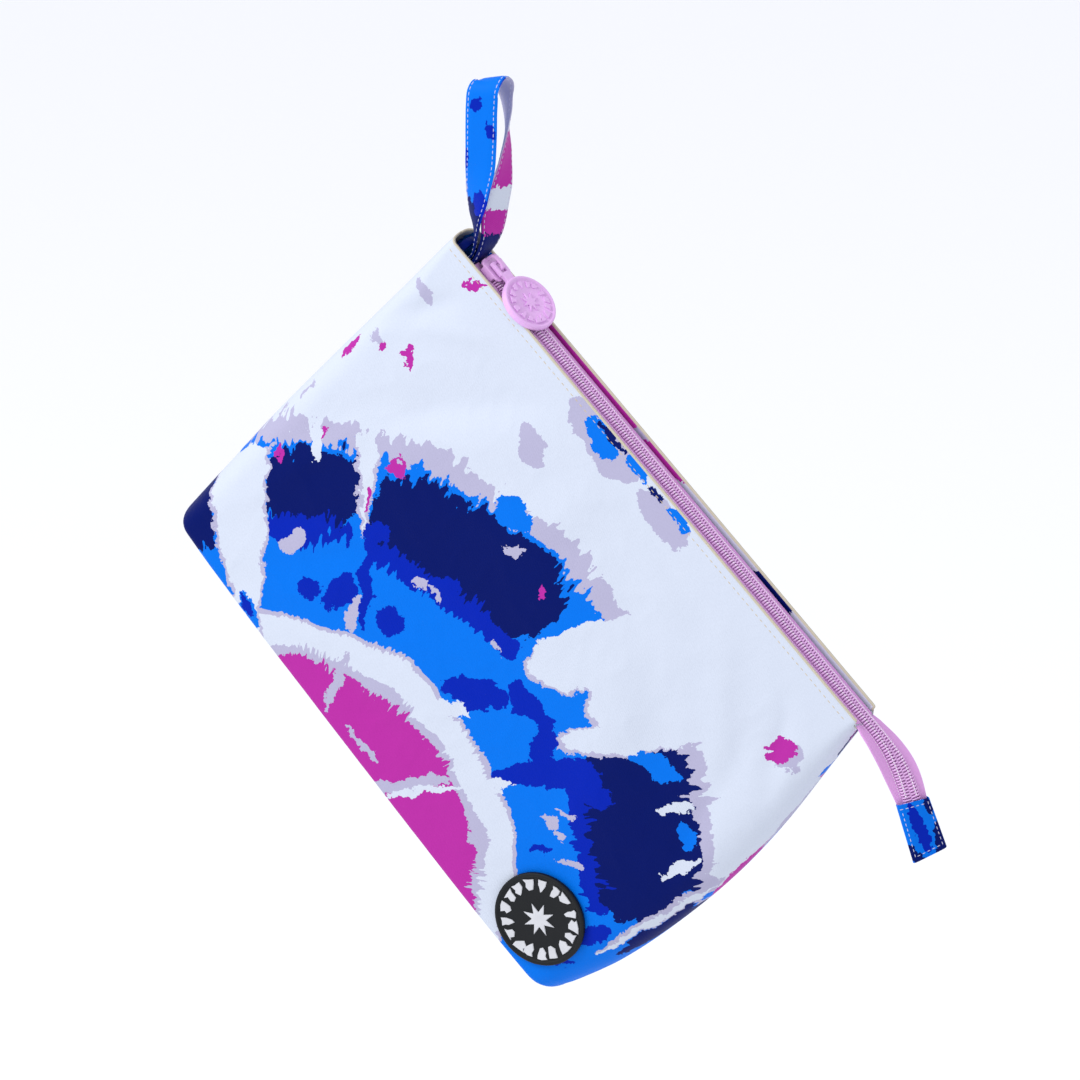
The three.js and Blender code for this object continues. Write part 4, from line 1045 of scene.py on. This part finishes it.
# Woven polyester tape: ribs along it and picks across give it a dry, matt face.
tape_weave, tape_tree, tape_shader = new_material("woven_polyester_zip_tape")
cloth = add(tape_tree, "Attribute", attribute_name="cloth").outputs["Vector"]
waves = []
for way in ((0, 2 * math.pi / RIB_MM, 0), (2 * math.pi / PICK_MM, math.pi, 0)):
    wave = add(tape_tree, "VectorMath", (cloth, way), operation="DOT_PRODUCT").outputs["Value"]
    waves.append(add(tape_tree, "Math", [wave], operation="SINE"))
rib, pick = waves
weave = add(tape_tree, "Math", (rib, pick, rib), operation="MULTIPLY_ADD")
tone = add(tape_tree, "MapRange", (weave, -2.0, 2.0, 0.93, 1.06))
feed(tape_tree, tape_shader, {
    "Base Color": add(tape_tree, "VectorMath", {0: linear(TAPE_PINK)[:3], 3: tone}, operation="SCALE"),
    "Normal": add(tape_tree, "Bump", {"Height": weave, "Distance": WEAVE_RISE * MM, "Strength": 0.8}),
    "Roughness": 0.82, "Specular IOR Level": 0.2})

# Drawn nylon wire: a smooth, slightly uneven gloss, and light that goes a little way into it.
nylon = plain_surface("drawn_nylon_coil", COIL_PINK, 0.9, (0.94, 1.05), (0.32, 0.5), extra={
    "IOR": 1.53, "Subsurface Weight": 0.2, "Subsurface Radius": (0.001, 0.0008, 0.001)})
chain_thread = spun_thread("spun_polyester_thread_pale_pink", CHAIN_PINK)

# One tooth of the coil from the tape to the middle and back over: across and up of each point.
TOOTH = ((3.9, -0.15), (4.0, 0.55), (3.5, 1.15), (2.2, 1.3), (0.9, 1.22), (0.1, 0.95), (-0.15, 0.5))
tooth_end = len(TOOTH) - 1
# The chain stitches that hold the coil: one row over the teeth, and one on the tape beside them.
CHAINS = table("across high thread", (2.55, GAP + 1.62, 0.78), (4.75, 0.02, 0.42))
CHAIN_STITCH = 1.1
CHAIN_POINTS_MM = 3.0
chain_points = int((zip_end - coil_start - 4) / CHAIN_POINTS_MM)
chain_line = [coil_start + 1 + k * CHAIN_POINTS_MM for k in range(chain_points)]
for side, half_name in ((-1, "front"), (1, "back")):
    rings, laid = [], []
    at = TAPE_START
    while at <= zip_end:
        edge, half, flange = tape_edges(at)
        outline = [(edge, 0), (half - 1.2, 0), (half - 0.3, -0.1), (half, -0.45), (half, -flange),
                   (half - TAPE_THICK, -flange), (half - TAPE_THICK, -TAPE_THICK), (edge, -TAPE_THICK)]
        rings.append([to_world(zip_point(at, side * y, z)) for y, z in outline])
        laid.append([(at, side * (y - z), 0) for y, z in outline])
        at += TAPE_STEP
    tape = tube("tape_" + half_name, rings, laid, tape_weave)
    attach(tape, "pouch")
    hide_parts("zip_tape_" + half_name)

    points, faces = [], []
    for tooth in range(int((zip_end - coil_start) / COIL_PITCH)):
        at = coil_start + (tooth + (0.25 if side > 0 else 0.75)) * COIL_PITCH
        place, along, across, normal = zip_frame(at)
        faces += skin(len(TOOTH), WIRE_SIDES, len(points))
        for k, (y, z) in enumerate(TOOTH):
            slant = along * (TOOTH_SLANT * (k / tooth_end - 0.5))
            centre = place + slant + across * (side * y) + normal * (z + GAP)
            a, b = TOOTH[max(k - 1, 0)], TOOTH[min(k + 1, tooth_end)]
            way = (across * (side * (b[0] - a[0])) + normal * (b[1] - a[1])).normalized()
            wire = COIL_WIRE / 2 * (TOOTH_HEAD if k == tooth_end - 1 else 1.0)
            ring = circle(centre, along, way.cross(along).normalized(), wire, WIRE_SIDES)
            points += [to_world(p) for p in ring]
    coil = new_object("coil_" + half_name, points, faces, nylon)
    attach(coil, "pouch")
    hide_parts("zip_coil_" + half_name)
    for row, chain in enumerate(CHAINS):
        stitch_row("coil_stitches_%s_%d" % (half_name, row),
                   [hung(zip_point(at, side * chain["across"], chain["high"])) for at in chain_line],
                   [bag_turn @ zip_frame(at)[3] for at in chain_line],
                   COIL_PITCH, CHAIN_STITCH, chain["thread"], chain_thread, "zip_coil")


# The hem along each side of the mouth: the satin is turned in and sewn down to the tape, with one
# row of cream topstitching close to the edge.
HEM_STITCH_DOWN = 4.4
HEM_STITCH = {"spacing": 3.3, "length": 2.5, "thread": 0.46}
HEM_THREAD = "#C9B795"
cream_thread = spun_thread("spun_polyester_thread_cream", HEM_THREAD)
for side, name, folds, creases in SIDES:
    line = section(folds, creases, side, HEM_STITCH_DOWN / BAG_HEIGHT, 0.0, 0.0)[CAP_STEPS:-CAP_STEPS]
    stitch_row("hem_stitches_" + name, [hung(p) for p in line], [Vector((0, side, 0))] * len(line),
               material=cream_thread, slot="printed_satin", **HEM_STITCH)


# The tabs: a scrap of satin folded over each end of the zip. The one at the start lies under the
# loop like a low saddle. The one on the tail is a flat sleeve, turned in at its mouth and
# topstitched all round.
TAB_LENGTH = 27
TAB_WIDTH = 17
TAB_THICK = 4.6
TAB_SLANT = 1.8
TAB_STEPS = 40
TAB_ROUND = 32
TAB_SQUARE = 0.42
TAB_STITCH = {"spacing": 2.6, "length": 2.0, "thread": 0.42}
COIL_THICK = 2.2
TAB_OUTSIDE = table("at dye", (0, AZURE))
TAB_INSIDE = table("at dye", (0, AZURE), (16, ROYAL))
TAB_BLOTS = table(
    "x y long wide turn dye",
    (13,   -1, 13, 3.2,   6, ROYAL),
    (22,  7.5, 11, 3.4, -12, NAVY),
    ( 3,    6,  5,   2,   0, NAVY),
    (25, -6.5,  6, 2.4,  20, NAVY),
)
tab_lift = (GAP + COIL_THICK - TAPE_THICK) / 2
tab_start = BAG_LENGTH + TAIL_LENGTH


def tab_point(share, angle, shrink):
    """A place on the tab, from the share of its length and the angle round its flat section,
    with how far across it is and on which face."""
    y = TAB_WIDTH / 2 * (0.94 + 0.1 * share) * shrink
    z = TAB_THICK / 2 * (1 - 0.5 * share) * (1 - 1.6 * (1 - shrink))
    c, s = math.cos(angle), math.sin(angle)
    across = y * math.copysign(abs(c) ** TAB_SQUARE, c)
    high = z * math.copysign(abs(s) ** 0.55, s)
    high *= 1 + 0.10 * noise.noise(Vector((share * 5, across / 5, 1.7)))
    slant = TAB_SLANT * (across / TAB_WIDTH) * (1 - 2 * ease(share, 0.3, 0.7))
    return zip_point(tab_start + TAB_LENGTH * share + slant, across, high + tab_lift), across, s


# The same satin, azure with darker blots.
tab_satin = strip_satin("printed_polyester_satin_tab", TAB_OUTSIDE, TAB_INSIDE, TAB_BLOTS)
rings, laid = [], []
path = [(0.22, 0.955), (0.10, 0.955), (0.0, 0.955), (-0.01, 0.975)]
path += [(i / TAB_STEPS, 1.0) for i in range(TAB_STEPS + 1)] + [(1.012, 0.96), (1.016, 0.9)]
for share, shrink in path:
    ring = [tab_point(share, 2 * math.pi * k / TAB_ROUND, shrink) for k in range(TAB_ROUND)]
    rings.append([to_world(p) for p, across, s in ring])
    laid.append([(share * TAB_LENGTH, across, 1.0 if s > -0.2 else 0.0) for p, across, s in ring])
tab = tube("tail_tab_cloth", rings, laid, tab_satin, 70)
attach(tab, "pouch")
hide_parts("tail_tab")
for face, up in (("top", 1), ("under", -1)):
    edge_in = 1 - 2 * STITCH_IN / TAB_WIDTH
    corner = [(0.08, edge_in), (0.92, edge_in), (0.92, -edge_in), (0.08, -edge_in), (0.08, edge_in)]
    line, ups = [], []
    for (a, p), (b, q) in zip(corner, corner[1:]):
        for t in [i / 12 for i in range(12)]:
            share, out = a + (b - a) * t, p + (q - p) * t
            angle = up * math.acos(math.copysign(abs(out) ** (1 / TAB_SQUARE), out))
            line.append(hung(tab_point(share, angle, 1.0)[0]))
            ups.append(bag_turn @ zip_frame(tab_start + TAB_LENGTH * share)[3] * up)
    stitch_row("tail_tab_stitches_" + face, line, ups,
               material=lilac_thread, slot="azure_cloth", **TAB_STITCH)


def softened(name, node, voxel, rounds, material, body):
    """A moulded or folded piece in the place of its CAD node, with the corners eased as a mould
    or a fold leaves them: fine voxels, then a few rounds of smoothing."""
    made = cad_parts[node].copy()
    made.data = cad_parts[node].data.copy()
    made.name = name
    bpy.context.scene.collection.objects.link(made)
    for key in [k for k in made.keys() if k.startswith("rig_")]:
        del made[key]
    made.modifiers.clear()
    even = made.modifiers.new("even", "REMESH")
    even.mode = "VOXEL"
    even.voxel_size = voxel * MM
    ease_edges = made.modifiers.new("eased_edges", "SMOOTH")
    ease_edges.factor = 0.5
    ease_edges.iterations = rounds
    bpy.context.view_layer.update()
    shape = bpy.data.meshes.new_from_object(made.evaluated_get(bpy.context.evaluated_depsgraph_get()))
    bpy.data.objects.remove(made)
    shape.name = name
    shape.materials.clear()
    shape.materials.append(material)
    shape.polygons.foreach_set("use_smooth", [True] * len(shape.polygons))
    from_world = bag_turn.transposed()
    lay(shape, [from_world @ (v.co / MM - bag_place) for v in shape.vertices])
    piece = bpy.data.objects.new(name, shape)
    bpy.context.scene.collection.objects.link(piece)
    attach(piece, body)
    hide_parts(node)


# The same satin, from a dark stretch of the print.
navy_satin = strip_satin(
    "printed_polyester_satin_navy", table("at dye", (0, NAVY), (40, ROYAL)), table("at dye", (0, NAVY)))
softened("start_tab_cloth", "start_tab", 0.3, 4, navy_satin, "pouch")


# The slider: die-cast zinc with a baked lilac enamel, which pools a little and softens every
# edge. Its bridge carries the pull.
SLIDER_LILAC = "#DDABE0"
# Baked enamel: the glossiest thing here, with the slow waves of a thick coat.
enamel = plain_surface("baked_enamel_on_die_cast_zinc", SLIDER_LILAC, 0.5, (0.95, 1.04), (0.24, 0.38),
                       (0.5, 2.0, 0.08, 0.5))
softened("slider", "zip_slider", 0.2, 3, enamel, "pouch")


# The pull: one injection-moulded piece of soft thermoplastic on the slider's bridge, with a
# raised lip on both faces, a ring of uneven chips and a plain star.
PULL_LILAC = "#DEAEE4"
# Soft thermoplastic: the fine grain of a spark-eroded mould makes it satin, and it glows a little.
soft_plastic = plain_surface("moulded_thermoplastic_satin", PULL_LILAC, 2.2, (0.96, 1.03), (0.42, 0.56),
                             (2.2, 2.0, 0.05, 0.5),
                             {"Subsurface Weight": 0.1, "Subsurface Radius": (0.0012, 0.0008, 0.0012)})
softened("pull", "zip_pull", 0.22, 2, soft_plastic, "pull")


def turned(profile, sides, place):
    """Rings of points round an axis from a profile of radius and height."""
    angles = [2 * math.pi * k / sides for k in range(sides)]
    return [[place(r * math.cos(a), r * math.sin(a), z) for a in angles] for r, z in profile]


def chip_ring(radius, outer, count, wander):
    """Outlines of uneven chips round a ring, with a plain star inside, in millimetres."""
    def cut(x, y, angle):
        return x * math.cos(angle) - y * math.sin(angle), x * math.sin(angle) + y * math.cos(angle)

    outlines = []
    for i in range(count):
        angle = 2 * math.pi * i / count + 0.10 * noise.noise(Vector((i * 3.1, 0.4, 2.0)))
        long = radius * (0.20 + 0.09 * noise.noise(Vector((i * 1.7, 5.5, 0.0))))
        wide = radius * (0.12 + 0.07 * noise.noise(Vector((i * 2.9, 8.5, 0.0))))
        corners = [(outer - long, -wide * 0.35), (outer - long * 0.45, -wide * 0.8), (outer, -wide),
                   (outer + 0.01 * radius, 0), (outer, wide * 0.9), (outer - long * 0.35, wide * 0.6),
                   (outer - long * 0.7, wide * 0.8), (outer - long * 1.1, wide * 0.25)]
        outline = []
        for k, (x, y) in enumerate(corners):
            x += wander * noise.noise(Vector((i * 2.3, k * 1.9, 0.5)))
            y += wander * noise.noise(Vector((i * 2.3, k * 1.9, 7.5)))
            outline.append(cut(x, y, angle))
        outlines.append(outline)
    tips = range(2 * STAR_TIPS)
    return outlines + [[cut(radius * (0.16 if i % 2 else 0.36), 0, math.pi * i / STAR_TIPS) for i in tips]]


def raised(name, outlines, low, high, place, material):
    """Flat-topped marks with eased edges, standing from low to high on a face."""
    points, faces = [], []
    rise = high - low
    for outline in outlines:
        centre = Vector((sum(x for x, y in outline), sum(y for x, y in outline))) / len(outline)
        faces += skin(4, len(outline), len(points))
        for z, shrink in ((low, 1.0), (low + 0.6 * rise, 1.0), (low + 0.9 * rise, 0.93), (high, 0.84)):
            for x, y in outline:
                spot = centre + (Vector((x, y)) - centre) * shrink
                points.append(place(spot.x, spot.y, z))
    return new_object(name, points, faces, material, False)


PULL_AT = Vector((22.6, 0, 3.8))
PULL_LEAN = math.radians(8)
PULL_PITCH = math.radians(1.4)
PULL_MIDDLE = 24.7
PULL_RADIUS = 14.5
PULL_THICK = 2.5
ROUND_SIDES = 96
STAR_TIPS = 8
PULL_CHIPS = 15
pull_turn = Matrix.Rotation(PULL_PITCH, 3, "Y") @ Matrix.Rotation(PULL_LEAN, 3, "X")


def on_pull(x, y, z):
    return to_world(PULL_AT + pull_turn @ Vector((PULL_MIDDLE + x, y, z)))


# The lip's profile: how far in from the edge, and how high over the face.
face = PULL_THICK / 2
lip = [(PULL_RADIUS - edge_in, face + rise) for edge_in, rise in (
    (0.25, -0.5), (0.2, 0), (0.5, 0.4), (1.0, 0.55), (1.6, 0.4), (2.0, -0.1))]
for name, flip in (("pull_lip_top", 1), ("pull_lip_under", -1)):
    rim = tube(name, turned(lip, ROUND_SIDES, lambda x, y, z: on_pull(x, y * flip, z * flip)),
               [[(0, 0, 0)] * ROUND_SIDES] * len(lip), soft_plastic, 80)
    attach(rim, "pull")
chips = chip_ring(PULL_RADIUS, PULL_RADIUS - 3.2, PULL_CHIPS, 0.5)
marks = raised("pull_marks", chips, face - 0.1, face + 0.5, on_pull, soft_plastic)
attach(marks, "pull")


# The badge: a disc of moulded rubber welded to the cloth, black, with a raised rim. Its white
# marks are a second shot of rubber: a ring of uneven chips round a plain star.
BADGE_D = 48
BADGE_THICK = 1.8
BADGE_RIM = 2.2
BADGE_RELIEF = 0.6
BADGE_TURN = math.radians(-19)
BADGE_CHIPS = 17
SEAT_TRIES = 24
RUBBER_BLACK, RUBBER_WHITE = "#05090D", "#C9CACE"


def badge_seat():
    """Where the badge lies on the front wall: its middle, and its right, up and outward ways."""
    at, drop, radius = BADGE_ALONG, BADGE_DOWN, BADGE_D / 2

    def point(x, down):
        depth = wall_depth(FRONT_FOLDS, x / BAG_LENGTH, down / BAG_HEIGHT)
        return Vector((x, -depth - GAP / 2, level(x, down / BAG_HEIGHT)))

    middle = point(at, drop)
    right = (point(at + radius / 2, drop) - point(at - radius / 2, drop)).normalized()
    up = (point(at, drop - radius / 2) - point(at, drop + radius / 2)).normalized()
    outward = right.cross(up).normalized()
    lift = 0.0
    for angle in [2 * math.pi * i / SEAT_TRIES for i in range(SEAT_TRIES)]:
        for share in (0.4, 0.7, 1):
            down = min(drop + radius * share * math.sin(angle), BAG_HEIGHT - BASE_ROUND)
            lift = max(lift, (point(at + radius * share * math.cos(angle), down) - middle).dot(outward))
    forward = up.cross(outward)
    c, s = math.cos(BADGE_TURN), math.sin(BADGE_TURN)
    return middle + outward * (lift + GAP), forward * c + up * s, up * c - forward * s, outward


seat_middle, seat_right, seat_up, seat_out = badge_seat()


def on_badge(x, y, z):
    return to_world(seat_middle + seat_right * x + seat_up * y + seat_out * z)


def rubber(name, hexa):
    """Moulded soft rubber: matt, with a fine mould grain and a slightly rubbed tone."""
    return plain_surface(name, hexa, 0.12, (0.88, 1.1), (0.5, 0.7), (1.5, 3.0, 0.06, 0.6),
                         {"IOR": 1.5, "Specular IOR Level": 0.3})


# The disc's profile, from the cloth over the rim to the middle: inwards from the edge, and up.
badge_radius = BADGE_D / 2
badge_top = BADGE_THICK + BADGE_RELIEF
profile = [(badge_radius - edge_in, high) for edge_in, high in (
    (0.3, 0.0), (0.0, 0.4), (0.0, 1.5), (0.12, 2.0), (0.5, 2.3), (1.1, badge_top), (1.7, 2.3),
    (BADGE_RIM - 0.1, 1.98), (BADGE_RIM + 0.2, BADGE_THICK))]
profile += [(badge_radius * share, BADGE_THICK) for share in (0.7, 0.45, 0.2)]
disc = tube("badge_disc", turned(profile, ROUND_SIDES, on_badge), [[(0, 0, 0)] * ROUND_SIDES] * len(profile),
            rubber("moulded_rubber_black", RUBBER_BLACK), 60)
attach(disc, "pouch")
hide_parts("badge")
chips = chip_ring(badge_radius, badge_radius - BADGE_RIM - 1.3, BADGE_CHIPS, 1.1)
marks = raised("badge_marks", chips, BADGE_THICK - 0.1, badge_top, on_badge,
               rubber("moulded_rubber_white", RUBBER_WHITE))
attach(marks, "pouch")
